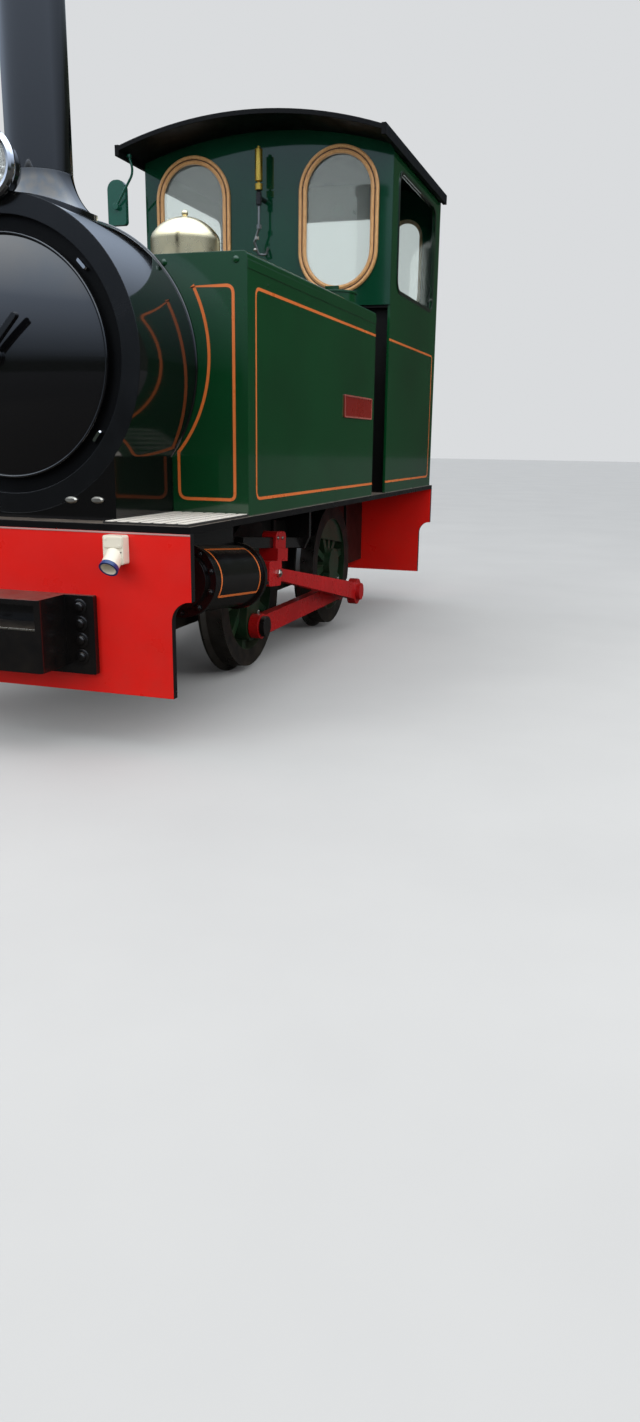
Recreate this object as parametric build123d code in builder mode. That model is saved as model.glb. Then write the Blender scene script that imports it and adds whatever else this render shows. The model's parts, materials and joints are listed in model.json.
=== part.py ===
from build123d import *
import os
from math import asin, atan, cos, degrees, radians, sin, sqrt

os.makedirs("parts", exist_ok=True)

# Narrow-gauge side-tank steam locomotive, outside cylinders, four coupled wheels.
# Millimetres. X runs across (+X is the side with the crank near its lowest point),
# the front faces -Y, and Z is up from the floor that the wheel flanges stand on.
# The origin is on the centreline, midway between the axles.

# Track and wheels
back_to_back = 550
flange_depth = 22
tread_radius = 300
tyre_width = 92
tyre_depth = 72
flange_width = 26
spoke_count = 10
spoke_width = 32
spoke_depth = 38
hub_radius = 78
axle_radius = 50
crank_radius = 130
crank_boss_radius = 62
crank_boss_depth = 14
crank_angle = -98
quartering = 90
balance_chord = 120
hub_recess = 12
spoke_recess = 18
spoke_sink = 12
balance_depth = 48
tread_cone = 3
pin_end_gap = 3
main_pin_gap = 6

# Wheel spacing and overall length
wheelbase = 1100
front_overhang = 1140
rear_overhang = 1090

rail = flange_depth
axle_height = rail + tread_radius
front_axle = -wheelbase / 2
rear_axle = wheelbase / 2
front_face = front_axle - front_overhang
rear_face = rear_axle + rear_overhang
wheel_inner = back_to_back / 2
wheel_outer = wheel_inner + tyre_width
flange_radius = tread_radius + flange_depth

# General clearances
pin_clearance = 0.05
seat_clearance = 0.5
swing_clearance = 8

# Frame plates and running plate
frame_inner = 200
frame_plate = 25
frame_bottom = rail + 210
plate_thickness = 21
plate_half_width = 645
plate_top = rail + 661
plate_bottom = plate_top - plate_thickness
frame_outer = frame_inner + frame_plate
stretcher_thickness = 20
stretcher_setback = 250
front_stretcher_reach = 210
rear_stretcher_reach = 330
stretcher_rise = 60
front_stretcher_rise = 40
axlebox_width = 170
axlebox_height = 180
horn_clearance = 1
spring_span = 420
spring_width = 30
spring_leaf = 9
spring_leaves = 5
spring_step = 0.15
spring_seat = 30
spring_cap = 10
spring_buckle = 56
spring_hanger = 18
axlebox_lip = 8

# Buffer beams and centre couplers
beam_thickness = 25
beam_half_width = 645
beam_lower_half_width = 580
beam_bottom = rail + 150
beam_notch_height = rail + 445
beam_notch_radius = 62
coupler_flange_half_width = 333
coupler_flange_bottom = rail + 208
coupler_flange_top = rail + 449
coupler_flange_thickness = 20
coupler_half_width = 235
coupler_reach = 160
coupler_body_bottom = rail + 232
coupler_mouth_half_width = 220
coupler_mouth_bottom = rail + 364
coupler_mouth_top = rail + 433
coupler_mouth_depth = 115
coupler_corner = 14
coupler_pin_radius = 16
coupler_pin_setback = 48
socket_x = 415
socket_z = rail + 590
socket_width = 66
socket_height = 84
socket_depth = 34
spout_radius = 27
spout_wall = 5
spout_length = 58
spout_mouth = 30

# Smokebox, boiler and their fittings
smokebox_radius = 455
smokebox_lift = 14
boiler_axis = plate_top + smokebox_lift + smokebox_radius
smokebox_wall = 14
smokebox_front = front_face + 94
tank_front = front_face + 477
smokebox_plate = 24
ring_inner_radius = 395
front_recess = 22
door_radius = 345
door_opening_radius = 318
door_gap = 1
door_edge = 16
door_dish = 62
door_hinge_offset = 30
door_hinge_radius = 11
hinge_post_width = 30
hinge_post_height = 28
hinge_post_offset = 40
hinge_eye_wall = 9
hinge_strap_height = 44
hinge_strap_depth = 20
hinge_strap_reach = 180
dart_boss_radius = 30
dart_boss = 30
dart_stand_off = 20
door_hinge_lift = 170
hinge_stand_off = 11
dart_length = 150
dart_angle = 46
dart_radius = 9
saddle_half_width = 358
barrel_radius = 395
firebox_front = front_face + 1620
firebox_half_width = 188
firebox_bottom = rail + 410
backhead_setback = 190
firehole_rise = 210
chimney_y = front_face + 345
chimney_radius = 99
chimney_bore = 88
chimney_top = rail + 2480
chimney_flare_radius = 150
chimney_flare_height = 95
chimney_skirt_radius = 168
chimney_skirt = 14
chimney_rim_radius = 112
chimney_rim_height = 46
dome_y = front_face + 1370
dome_radius = 140
dome_height = 239
finial_height = 26
dome_top = boiler_axis + barrel_radius + dome_height
finial_top = dome_top + finial_height
dome_crown = 78
dome_flare = 24
dome_flare_height = 44
dome_shoulder = 46
finial_radius = 13
valve_y = front_face + 1770
valve_seat_width = 150
valve_seat_length = 90
valve_seat_height = 24
valve_offset = 38
valve_body_radius = 24
valve_body_height = 54
valve_cap_radius = 15
valve_cap_height = 30
lamp_radius = 82
lamp_length = 118
lamp_bowl = 66
lamp_wall = 6
lamp_lift = 63
lamp_z = boiler_axis + smokebox_radius + lamp_lift
lamp_front = smokebox_front - 34
lens_thickness = 8
lens_setback = 6
lamp_bracket_width = 80
lamp_bracket_length = 44

# Side tanks
tank_clearance = 20
tank_half_width = 631
tank_inner = barrel_radius + tank_clearance
tank_rear = front_face + 2014
tank_top = rail + 1467
tank_apron = 12
tank_edge_radius = 14
filler_y = front_face + 1750
filler_radius = 84
filler_bore = 68
filler_height = 42
filler_depth = 70
lid_thickness = 9
lid_pin_radius = 5
lid_pin_setback = 22
lid_lap = 4
lid_lug_radius = 12
lid_lug_width = 12
lid_lug_half = 26
lid_strap_width = 24
lid_handle_width = 60
lid_handle_height = 16

# Cab
sill_rise = 5
cab_wall = 12
cab_half_width = 630
cab_front = front_face + 2254
cab_rear = front_face + 3327
cab_sill = boiler_axis + barrel_radius + sill_rise
apron_setback = 60
side_opening_front = front_face + 2380
side_opening_rear = front_face + 3195
side_opening_sill = rail + 1606
side_opening_top = rail + 2130
opening_corner = 70
window_centre = 371
window_width = 352
window_bottom = cab_sill + 70
window_top = rail + 2204
rear_window_centre = 440
rear_window_width = 190
rear_window_bottom = rail + 1620
rear_window_top = rail + 2110
window_frame_width = 38
window_frame_lap = 19
window_frame_depth = 10
glass_thickness = 6
doorway_half_width = 262
doorway_top = rail + 2120
door_top = rail + 1606
door_thickness = 14
door_pin_radius = 7
door_leaf_gap = 6
door_hinge_inset = 14
door_hinge_low = 180
door_hinge_high = 160
door_lug_drop = 34
door_lug_height = 12
door_lug_reach = 40
door_pintle = 60
door_strap_height = 42
door_strap_width = 24
door_eye_wall = 5
roof_crown = rail + 2325
roof_tip = rail + 2218
roof_half_width = 655
roof_thickness = 20
roof_overhang = 35
roof_front = front_face + 2004
roof_rear = cab_rear + roof_overhang
gutter_drop = 26
floor_thickness = 25

# Cylinders and motion
cylinder_x = 495
stroke_slope = 0.086
cylinder_radius = 108
cylinder_flange_radius = 118
cylinder_length = 448
cylinder_flange = 22
cover_radius = 90
cover_boss_radius = 38
cover_boss = 22
cover_depth = 20
chest_half_width = 78
chest_height = 150
chest_setback = 60
seat_setback = 90
gland_radius = 42
gland_length = 30
crosshead_gap = 42
piston_rod_radius = 18
rod_length = 1226
coupling_rod_inner = 385
coupling_rod_width = 40
coupling_rod_height = 82
coupling_boss_radius = 51
crank_pin_radius = 30
pin_collar_radius = 42
pin_collar_width = 20
connecting_rod_inner = 475
connecting_rod_width = 40
small_end_radius = 38
big_end_radius = 64
small_end_height = 46
big_end_height = 84
crosshead_pin_radius = 21
crosshead_cheek = 17
crosshead_front = 100
crosshead_rear = 36
crosshead_half_height = 48
slider_front = 12
slider_rear = 100
slider_gap = 112
slider_wall = 12
slider_corner = 22
slider_rise = 24
small_end_room = 6
crosshead_corner = 14
slide_bar_height = 40
slide_bar_width = 34
slide_bar_lift = 96
motion_bracket_thickness = 24
bracket_side = 48
bracket_chamfer = 24
bracket_foot = 36
bracket_inset = 60
bracket_drop = 50
bracket_lip = 4

# Whistle, mirror, brakes and cab fittings
whistle_y = front_face + 2180
whistle_radius = 18
whistle_bottom = rail + 2038
whistle_top = rail + 2222
whistle_valve_height = 64
whistle_valve_radius = 13
whistle_pipe_radius = 6
whistle_pipe_bottom = rail + 1762
whistle_nut_z = rail + 1870
mirror_x = -728
mirror_y = front_face + 2150
mirror_z = rail + 2014
mirror_width = 98
mirror_height = 203
mirror_depth = 26
mirror_arm_radius = 6
brake_gap = 7
brake_block_depth = 34
brake_hanger = 14
brake_block_width = 48
brake_block_height = 190
brake_tie_width = 22
brake_tie_height = 34
ashpan_toe = 60
ashpan_bottom = rail + 215

stroke_angle = degrees(atan(stroke_slope))
stroke_run = cos(radians(stroke_angle))
front_dead_centre = rear_axle - (rod_length + crank_radius) * stroke_run
rear_dead_centre = rear_axle - (rod_length - crank_radius) * stroke_run
cylinder_rear = front_dead_centre - crosshead_front - crosshead_gap - gland_length - cover_depth
cylinder_front = cylinder_rear - cylinder_length
slide_bar_rear = rear_dead_centre + slider_rear + slider_gap
gland_mouth = cylinder_rear + cover_depth + gland_length
piston_rod_reach = (rear_dead_centre - gland_mouth) / stroke_run + 20
piston_rod_bore = (cylinder_rear - front_dead_centre) / stroke_run + piston_rod_reach + swing_clearance
sides = (("left", 1, crank_angle), ("right", -1, crank_angle + quartering))


def axle_line(axle_y):
    """Axis across the locomotive through one axle's centre."""
    return Axis((0, axle_y, axle_height), (1, 0, 0))


def crank_pin(axle_y, angle):
    """Height and length position of the crank pin, as (y, z)."""
    turn = radians(angle)
    return axle_y + crank_radius * cos(turn), axle_height + crank_radius * sin(turn)


def stroke_height(y):
    """Height of the line of stroke, which points at the rear axle."""
    return axle_height + (rear_axle - y) * stroke_slope


def crosshead_position(angle):
    """Crosshead pin on the line of stroke, one connecting rod's length from the crank pin."""
    pin_y, pin_z = crank_pin(rear_axle, angle)
    along = (cos(radians(stroke_angle)), -sin(radians(stroke_angle)))
    offset_y = pin_y - rear_axle
    offset_z = pin_z - axle_height
    reach = offset_y * along[0] + offset_z * along[1]
    aside = offset_y * along[1] - offset_z * along[0]
    travel = reach - sqrt(rod_length ** 2 - aside ** 2)
    return rear_axle + travel * along[0], axle_height + travel * along[1]


def cap_middle(radius, rise):
    """Middle point of the arc of a round cap, measured from the centre of its foot."""
    ball = (radius ** 2 + rise ** 2) / (2 * rise)
    half_turn = asin(radius / ball) / 2
    return ball * sin(half_turn), rise - ball * (1 - cos(half_turn))


def side_plane(x, y, z, tilt=0):
    """Plane facing +X whose local x runs rearwards, tilted down by tilt degrees."""
    turn = radians(tilt)
    return Plane(origin=(x, y, z), x_dir=(0, cos(turn), -sin(turn)), z_dir=(1, 0, 0))


def end_plane(y):
    """Plane across the locomotive at y, local x across, local y up from the floor."""
    return Plane(origin=(0, y, 0), x_dir=(1, 0, 0), z_dir=(0, -1, 0))


def crank_wheel(axle_y, sign, angle, pin_end, collar):
    """One spoked wheel: flanged tyre, crank boss, crank pin and balance weight."""
    turn = radians(angle)
    hub_inner = wheel_inner + hub_recess
    rim_radius = tread_radius - tyre_depth
    spoke_start = wheel_outer - spoke_recess - spoke_depth
    crank_plane = Plane(
        origin=(0, axle_y, axle_height),
        x_dir=(0, cos(turn), sin(turn)),
        z_dir=(sign, 0, 0),
    )
    with BuildPart() as wheel:
        with BuildSketch(Plane(origin=(0, axle_y, axle_height), x_dir=(1, 0, 0), z_dir=(0, -1, 0))):
            with BuildLine():
                Polyline(
                    (sign * wheel_inner, rim_radius),
                    (sign * wheel_inner, flange_radius - flange_width / 4),
                    (sign * (wheel_inner + flange_width / 4), flange_radius),
                    (sign * (wheel_inner + flange_width / 2), flange_radius),
                    (sign * (wheel_inner + flange_width), tread_radius),
                    (sign * wheel_outer, tread_radius - tread_cone),
                    (sign * wheel_outer, rim_radius),
                    close=True,
                )
            make_face()
        revolve(axis=axle_line(axle_y))
        with BuildSketch(crank_plane.offset(hub_inner)):
            Circle(hub_radius)
            with Locations((crank_radius / 2, 0)):
                SlotCenterToCenter(crank_radius, 2 * crank_boss_radius)
        extrude(amount=wheel_outer + crank_boss_depth - hub_inner)
        with BuildSketch(crank_plane.offset(spoke_start)):
            with PolarLocations((hub_radius + rim_radius) / 2, spoke_count):
                Rectangle(rim_radius - hub_radius + 2 * spoke_sink, spoke_width)
        extrude(amount=spoke_depth)
        with BuildSketch(crank_plane.offset(spoke_start)):
            Circle(rim_radius + 4)
            with Locations((-balance_chord - rim_radius, 0)):
                Rectangle(2 * rim_radius, 2 * rim_radius + 20, mode=Mode.INTERSECT)
        extrude(amount=balance_depth)
        with BuildSketch(crank_plane.offset(wheel_outer)):
            with Locations((crank_radius, 0)):
                Circle(crank_pin_radius)
        extrude(amount=pin_end - wheel_outer)
        if collar:
            with BuildSketch(crank_plane.offset(pin_end - pin_collar_width)):
                with Locations((crank_radius, 0)):
                    Circle(pin_collar_radius)
            extrude(amount=pin_collar_width)
        with BuildSketch(crank_plane):
            Circle(axle_radius + pin_clearance)
        extrude(amount=pin_end, mode=Mode.SUBTRACT)
    return wheel.part


# Wheelsets: axle, two wheels, cranks a quarter turn apart
coupling_rod_outer = coupling_rod_inner + coupling_rod_width
front_pin_end = coupling_rod_outer + pin_end_gap + pin_collar_width
rear_pin_end = connecting_rod_inner - main_pin_gap
for name, axle_y, pin_end, collar in (
    ("front_wheelset", front_axle, front_pin_end, True),
    ("rear_wheelset", rear_axle, rear_pin_end, False),
):
    wheels = [crank_wheel(axle_y, sign, angle, pin_end, collar) for side, sign, angle in sides]
    with BuildPart() as wheelset:
        with BuildSketch(side_plane(-wheel_outer - crank_boss_depth, axle_y, axle_height)):
            Circle(axle_radius)
        extrude(amount=2 * (wheel_outer + crank_boss_depth))
        add(wheels)
    wheelset.part.label = name
    export_step(wheelset.part, f"parts/{name}.step")

# Coupling rods: a straight bar with a round boss at each crank pin
for side, sign, angle in sides:
    pin_y, pin_z = crank_pin(front_axle, angle)
    rod_plane = Plane(
        origin=(sign * coupling_rod_inner, pin_y, pin_z),
        x_dir=(0, 1, 0),
        z_dir=(sign, 0, 0),
    )
    with BuildPart() as coupling_rod:
        with BuildSketch(rod_plane):
            with Locations((wheelbase / 2, 0)):
                Rectangle(wheelbase, coupling_rod_height)
            with Locations((0, 0), (wheelbase, 0)):
                Circle(coupling_boss_radius)
                Circle(crank_pin_radius + pin_clearance, mode=Mode.SUBTRACT)
        extrude(amount=coupling_rod_width)
    coupling_rod.part.label = f"{side}_coupling_rod"
    export_step(coupling_rod.part, f"parts/{side}_coupling_rod.step")

# Connecting rods: tapered bars from the crosshead pin to the outer end of the main crank pin
for side, sign, angle in sides:
    small_y, small_z = crosshead_position(angle)
    big_y, big_z = crank_pin(rear_axle, angle)
    rod_plane = Plane(
        origin=(sign * connecting_rod_inner, small_y, small_z),
        x_dir=(0, (big_y - small_y) / rod_length, (big_z - small_z) / rod_length),
        z_dir=(sign, 0, 0),
    )
    with BuildPart() as connecting_rod:
        with BuildSketch(rod_plane):
            with BuildLine():
                Polyline(
                    (0, -small_end_height / 2),
                    (rod_length, -big_end_height / 2),
                    (rod_length, big_end_height / 2),
                    (0, small_end_height / 2),
                    close=True,
                )
            make_face()
            Circle(small_end_radius)
            with Locations((rod_length, 0)):
                Circle(big_end_radius)
            Circle(crosshead_pin_radius + pin_clearance, mode=Mode.SUBTRACT)
        extrude(amount=connecting_rod_width)
        with BuildSketch(rod_plane.offset(connecting_rod_width)):
            with Locations((rod_length, 0)):
                Circle(pin_collar_radius)
        extrude(amount=pin_collar_width)
    connecting_rod.part.label = f"{side}_connecting_rod"
    export_step(connecting_rod.part, f"parts/{side}_connecting_rod.step")

# Crossheads: cheeks either side of the small end, a bridge over it, an upstand that runs
# on the slide bar, the crosshead pin and the piston rod
cheek_clearance = 2
cheek_inner = connecting_rod_inner - cheek_clearance
cheek_outer = connecting_rod_inner + connecting_rod_width + cheek_clearance
crosshead_width = cheek_outer - cheek_inner + 2 * crosshead_cheek
slide_bar_x = (cheek_inner + cheek_outer) / 2
slot_front = -small_end_radius - small_end_room
slot_rear = crosshead_rear + small_end_room
slider_middle = (slider_rear - slider_front) / 2
slider_length = slider_rear + slider_front
slider_bottom = crosshead_half_height - 2
slider_foot = slide_bar_lift - seat_clearance
slider_top = slide_bar_lift + slide_bar_height + slider_rise
rod_start = crosshead_corner - crosshead_front
for side, sign, angle in sides:
    pin_y, pin_z = crosshead_position(angle)
    middle = side_plane(sign * slide_bar_x, pin_y, pin_z, stroke_angle)
    with BuildPart() as crosshead:
        with BuildSketch(middle):
            with Locations(((crosshead_rear - crosshead_front) / 2, 0)):
                RectangleRounded(
                    crosshead_front + crosshead_rear, 2 * crosshead_half_height, crosshead_corner
                )
        extrude(amount=crosshead_width / 2, both=True)
        with BuildSketch(middle):
            with Locations(((slot_front + slot_rear) / 2, 0)):
                Rectangle(slot_rear - slot_front, 4 * crosshead_half_height)
        extrude(amount=(cheek_outer - cheek_inner) / 2, both=True, mode=Mode.SUBTRACT)
        with BuildSketch(middle):
            with Locations((slider_middle, (slider_bottom + slider_foot) / 2)):
                Rectangle(slider_length, slider_foot - slider_bottom)
        extrude(amount=crosshead_width / 2, both=True)
        with BuildSketch(middle):
            with Locations((slider_middle, (slider_bottom + slider_top) / 2)):
                RectangleRounded(slider_length, slider_top - slider_bottom, slider_corner)
            with Locations((slider_middle, (slider_bottom + slider_foot) / 2)):
                Rectangle(slider_length, slider_foot - slider_bottom)
        extrude(amount=slide_bar_width / 2 + slider_wall, both=True)
        with BuildSketch(middle):
            with Locations((slider_middle, slide_bar_lift + slide_bar_height / 2)):
                Rectangle(2 * slider_length, slide_bar_height + 2 * seat_clearance)
        extrude(amount=slide_bar_width / 2 + seat_clearance, both=True, mode=Mode.SUBTRACT)
        with BuildSketch(middle.offset(-crosshead_width / 2)):
            Circle(crosshead_pin_radius)
        extrude(amount=crosshead_width)
        piston_rod = Plane(middle.from_local_coords((rod_start, 0, 0)), middle.z_dir, -middle.x_dir)
        with BuildSketch(piston_rod):
            Circle(piston_rod_radius)
        extrude(amount=rod_start + piston_rod_reach)
    crosshead.part.label = f"{side}_crosshead"
    export_step(crosshead.part, f"parts/{side}_crosshead.step")

# Cylinders: barrel in its cladding, end flanges and covers, valve chest, seat on the frame
bore_plane = Plane(
    origin=(cylinder_x, cylinder_front, stroke_height(cylinder_front)),
    x_dir=(1, 0, 0),
    z_dir=(0, cos(radians(stroke_angle)), -sin(radians(stroke_angle))),
)
barrel_length = (cylinder_rear - cylinder_front) / cos(radians(stroke_angle))
with BuildPart() as cylinders:
    with BuildSketch(bore_plane):
        Circle(cylinder_radius)
    extrude(amount=barrel_length)
    with BuildSketch(bore_plane, bore_plane.offset(barrel_length - cylinder_flange)):
        Circle(cylinder_flange_radius)
    extrude(amount=cylinder_flange)
    with BuildSketch(bore_plane.offset(-cover_depth)):
        Circle(cover_radius)
    extrude(amount=cover_depth)
    with BuildSketch(bore_plane.offset(-cover_depth - cover_boss)):
        Circle(cover_boss_radius)
    extrude(amount=cover_boss)
    with BuildSketch(bore_plane.offset(barrel_length)):
        Circle(cover_radius)
    extrude(amount=cover_depth)
    with BuildSketch(bore_plane.offset(barrel_length + cover_depth)):
        Circle(gland_radius)
    extrude(amount=gland_length)
    with BuildSketch(bore_plane.offset(barrel_length - piston_rod_bore)):
        Circle(piston_rod_radius + pin_clearance)
    extrude(amount=barrel_length, mode=Mode.SUBTRACT)
    seat_bottom = stroke_height(cylinder_rear) - cylinder_radius * 0.55
    with BuildSketch(Plane.YZ.offset(frame_outer)):
        with Locations(((cylinder_front + cylinder_rear) / 2, (seat_bottom + plate_bottom) / 2)):
            Rectangle(cylinder_length - seat_setback, plate_bottom - seat_bottom)
    extrude(amount=cylinder_x - frame_outer - cylinder_radius * 0.6)
    with BuildSketch(Plane.YZ.offset(cylinder_x - 2 * chest_half_width)):
        with Locations(((cylinder_front + cylinder_rear) / 2, plate_bottom - chest_height / 2)):
            Rectangle(cylinder_length - chest_setback, chest_height)
    extrude(amount=2 * chest_half_width)
    mirror(about=Plane.YZ)
cylinders.part.label = "cylinders"
export_step(cylinders.part, "parts/cylinders.step")

# Slide bars above the crossheads, from the cylinder flange to a hanging bracket
with BuildPart() as slide_bars:
    for side, sign, angle in sides:
        lift = slide_bar_lift + slide_bar_height / 2
        bar_plane = side_plane(sign * slide_bar_x, cylinder_rear, stroke_height(cylinder_rear), stroke_angle)
        bar_start = lift * stroke_slope
        bar_end = (slide_bar_rear - cylinder_rear) / stroke_run + lift * stroke_slope
        with BuildSketch(bar_plane):
            with Locations(((bar_start + bar_end) / 2, lift)):
                Rectangle(bar_end - bar_start, slide_bar_height)
        extrude(amount=slide_bar_width / 2, both=True)
        bracket_bottom = stroke_height(slide_bar_rear) + slide_bar_lift - bracket_lip
        with BuildSketch(end_plane(slide_bar_rear)):
            with BuildLine():
                Polyline(
                    (sign * frame_outer, plate_bottom),
                    (sign * (slide_bar_x + bracket_side), plate_bottom),
                    (sign * (slide_bar_x + bracket_side), bracket_bottom + bracket_drop),
                    (sign * (slide_bar_x + bracket_side - bracket_chamfer), bracket_bottom),
                    (sign * (slide_bar_x - bracket_foot), bracket_bottom),
                    (sign * (slide_bar_x - bracket_inset), plate_bottom - bracket_inset),
                    (sign * frame_outer, plate_bottom - bracket_inset),
                    close=True,
                )
            make_face()
        extrude(amount=-motion_bracket_thickness)
slide_bars.part.label = "slide_bars"
export_step(slide_bars.part, "parts/slide_bars.step")

# Main frames: two plates with horn gaps, joined by stretchers
frame_length = rear_face - front_face - 2 * beam_thickness
with BuildPart() as main_frames:
    for sign in (-1, 1):
        with BuildSketch(Plane.YZ.offset(sign * (frame_inner + frame_plate / 2))):
            with Locations(((front_face + rear_face) / 2, (frame_bottom + plate_bottom) / 2)):
                Rectangle(frame_length, plate_bottom - frame_bottom)
            for axle_y in (front_axle, rear_axle):
                with Locations((axle_y, axle_height - axlebox_height / 2)):
                    Rectangle(axlebox_width + 2 * horn_clearance, 2 * axlebox_height, mode=Mode.SUBTRACT)
        extrude(amount=frame_plate / 2, both=True)
    stretchers = (
        (front_face + stretcher_setback, frame_bottom + front_stretcher_rise, plate_bottom),
        (front_axle + front_stretcher_reach, frame_bottom, plate_bottom),
        (rear_axle + rear_stretcher_reach, frame_bottom + stretcher_rise, plate_bottom),
        (rear_face - stretcher_setback, frame_bottom + stretcher_rise, plate_bottom),
    )
    for stretcher_y, bottom, top in stretchers:
        with BuildSketch(end_plane(stretcher_y)):
            with Locations((0, (bottom + top) / 2)):
                Rectangle(2 * frame_inner + 2, top - bottom)
        extrude(amount=stretcher_thickness / 2, both=True)
main_frames.part.label = "main_frames"
export_step(main_frames.part, "parts/main_frames.step")

# Buffer beams: wide plates with a rounded notch at each lower corner
beam_top = plate_bottom
with BuildPart() as buffer_beams:
    for face_y, inward in ((front_face, 1), (rear_face, -1)):
        with BuildSketch(end_plane(face_y)):
            with Locations((0, (beam_bottom + beam_top) / 2)):
                Rectangle(2 * beam_lower_half_width, beam_top - beam_bottom)
            with Locations((0, (beam_notch_height + beam_top) / 2)):
                Rectangle(2 * beam_half_width, beam_top - beam_notch_height)
            for sign in (-1, 1):
                with Locations((sign * (beam_lower_half_width + beam_notch_radius / 2),
                                beam_notch_height - beam_notch_radius / 2)):
                    Rectangle(beam_notch_radius, beam_notch_radius)
                with Locations((sign * (beam_lower_half_width + beam_notch_radius),
                                beam_notch_height - beam_notch_radius)):
                    Circle(beam_notch_radius, mode=Mode.SUBTRACT)
        extrude(amount=-inward * beam_thickness)
buffer_beams.part.label = "buffer_beams"
export_step(buffer_beams.part, "parts/buffer_beams.step")

# Centre couplers: bolted flange, box head with a wide mouth over a shelf, and a pin hole
with BuildPart() as couplers:
    for face_y, outward in ((front_face, -1), (rear_face, 1)):
        head_y = face_y + outward * coupler_reach
        with BuildSketch(end_plane(face_y)):
            with Locations((0, (coupler_flange_bottom + coupler_flange_top) / 2)):
                RectangleRounded(2 * coupler_flange_half_width, coupler_flange_top - coupler_flange_bottom, 6)
        extrude(amount=-outward * coupler_flange_thickness)
        with BuildSketch(end_plane(face_y)):
            with Locations((0, (coupler_body_bottom + coupler_flange_top) / 2)):
                Rectangle(2 * coupler_half_width, coupler_flange_top - coupler_body_bottom)
        extrude(amount=-outward * coupler_reach)
        head_edges = couplers.edges().filter_by(Axis.Z).group_by(Axis.Y)[0 if outward < 0 else -1]
        fillet(head_edges, radius=coupler_corner)
        with BuildSketch(end_plane(head_y)):
            with Locations((0, (coupler_mouth_bottom + coupler_mouth_top) / 2)):
                Rectangle(2 * coupler_mouth_half_width, coupler_mouth_top - coupler_mouth_bottom)
        extrude(amount=outward * coupler_mouth_depth, mode=Mode.SUBTRACT)
        pin_y = head_y - outward * coupler_pin_setback
        with Locations((0, pin_y, coupler_flange_top)):
            Hole(radius=coupler_pin_radius, depth=coupler_flange_top - coupler_flange_bottom)
couplers.part.label = "couplers"
export_step(couplers.part, "parts/couplers.step")

# Running plate, open over the firebox, and the ribbed front plate on it
with BuildPart() as running_plate:
    with BuildSketch(Plane.XY.offset(plate_bottom)):
        with Locations((0, (front_face + rear_face) / 2)):
            Rectangle(2 * plate_half_width, rear_face - front_face)
        opening_front = firebox_front - swing_clearance
        opening_rear = cab_front + backhead_setback + swing_clearance
        with Locations((0, (opening_front + opening_rear) / 2)):
            Rectangle(2 * firebox_half_width + 2 * swing_clearance, opening_rear - opening_front,
                      mode=Mode.SUBTRACT)
    extrude(amount=plate_thickness)
running_plate.part.label = "running_plate"
export_step(running_plate.part, "parts/running_plate.step")

tread_thickness = 6
tread_edge = 12
tread_lap = 2
with BuildPart() as front_tread_plates:
    with BuildSketch(Plane.XY.offset(plate_top)):
        for sign in (-1, 1):
            inner = saddle_half_width + seat_clearance
            outer = tank_half_width + tread_lap
            with Locations((sign * (inner + outer) / 2, (front_face + tread_edge + tank_front) / 2)):
                Rectangle(outer - inner, tank_front - front_face - tread_edge - 2 * seat_clearance)
    extrude(amount=tread_thickness)
front_tread_plates.part.label = "front_tread_plates"
export_step(front_tread_plates.part, "parts/front_tread_plates.step")

# Saddle under the smokebox, its top hollowed to the drum
with BuildPart() as smokebox_saddle:
    with BuildSketch(Plane.XY.offset(plate_top)):
        with Locations((0, (smokebox_front + tank_front) / 2)):
            Rectangle(2 * saddle_half_width, tank_front - smokebox_front)
    extrude(amount=boiler_axis - plate_top - barrel_radius / 2)
    with BuildSketch(end_plane(tank_front + 10)):
        with Locations((0, boiler_axis)):
            Circle(smokebox_radius)
    extrude(amount=tank_front - smokebox_front + 20, mode=Mode.SUBTRACT)
smokebox_saddle.part.label = "smokebox_saddle"
export_step(smokebox_saddle.part, "parts/smokebox_saddle.step")

front_plate = smokebox_front + front_recess
door_back = front_plate - door_gap
hinge_x = -(door_radius + door_hinge_offset)
hinge_y = smokebox_front - door_hinge_radius - hinge_stand_off

post_lift = door_hinge_lift + hinge_post_offset
post_front = hinge_y - hinge_post_height / 2

# Smokebox: drum with a raised front ring, the front plate set back inside it
smokebox_length = tank_front + tank_apron - smokebox_front
with BuildPart() as smokebox:
    with BuildSketch(end_plane(smokebox_front)):
        with Locations((0, boiler_axis)):
            Circle(smokebox_radius)
            Circle(smokebox_radius - smokebox_wall, mode=Mode.SUBTRACT)
    extrude(amount=-smokebox_length)
    with BuildSketch(end_plane(smokebox_front)):
        with Locations((0, boiler_axis)):
            Circle(smokebox_radius)
            Circle(ring_inner_radius, mode=Mode.SUBTRACT)
    extrude(amount=-front_recess)
    with BuildSketch(end_plane(front_plate)):
        with Locations((0, boiler_axis)):
            Circle(smokebox_radius)
            Circle(door_opening_radius, mode=Mode.SUBTRACT)
    extrude(amount=-smokebox_plate)
    with Locations((0, chimney_y, boiler_axis + smokebox_radius)):
        Hole(radius=chimney_bore, depth=3 * smokebox_wall)
    for lift in (-1, 1):
        with BuildSketch(Plane.XY.offset(boiler_axis + lift * post_lift - hinge_post_height / 2)):
            with Locations((hinge_x, (post_front + smokebox_front) / 2)):
                Rectangle(hinge_post_width, smokebox_front - post_front)
        extrude(amount=hinge_post_height)
    with BuildSketch(Plane.XY.offset(boiler_axis - post_lift)):
        with Locations((hinge_x, hinge_y)):
            Circle(door_hinge_radius)
    extrude(amount=2 * post_lift)
smokebox.part.label = "smokebox"
export_step(smokebox.part, "parts/smokebox.step")

door_crown = door_back - door_edge - door_dish

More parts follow.
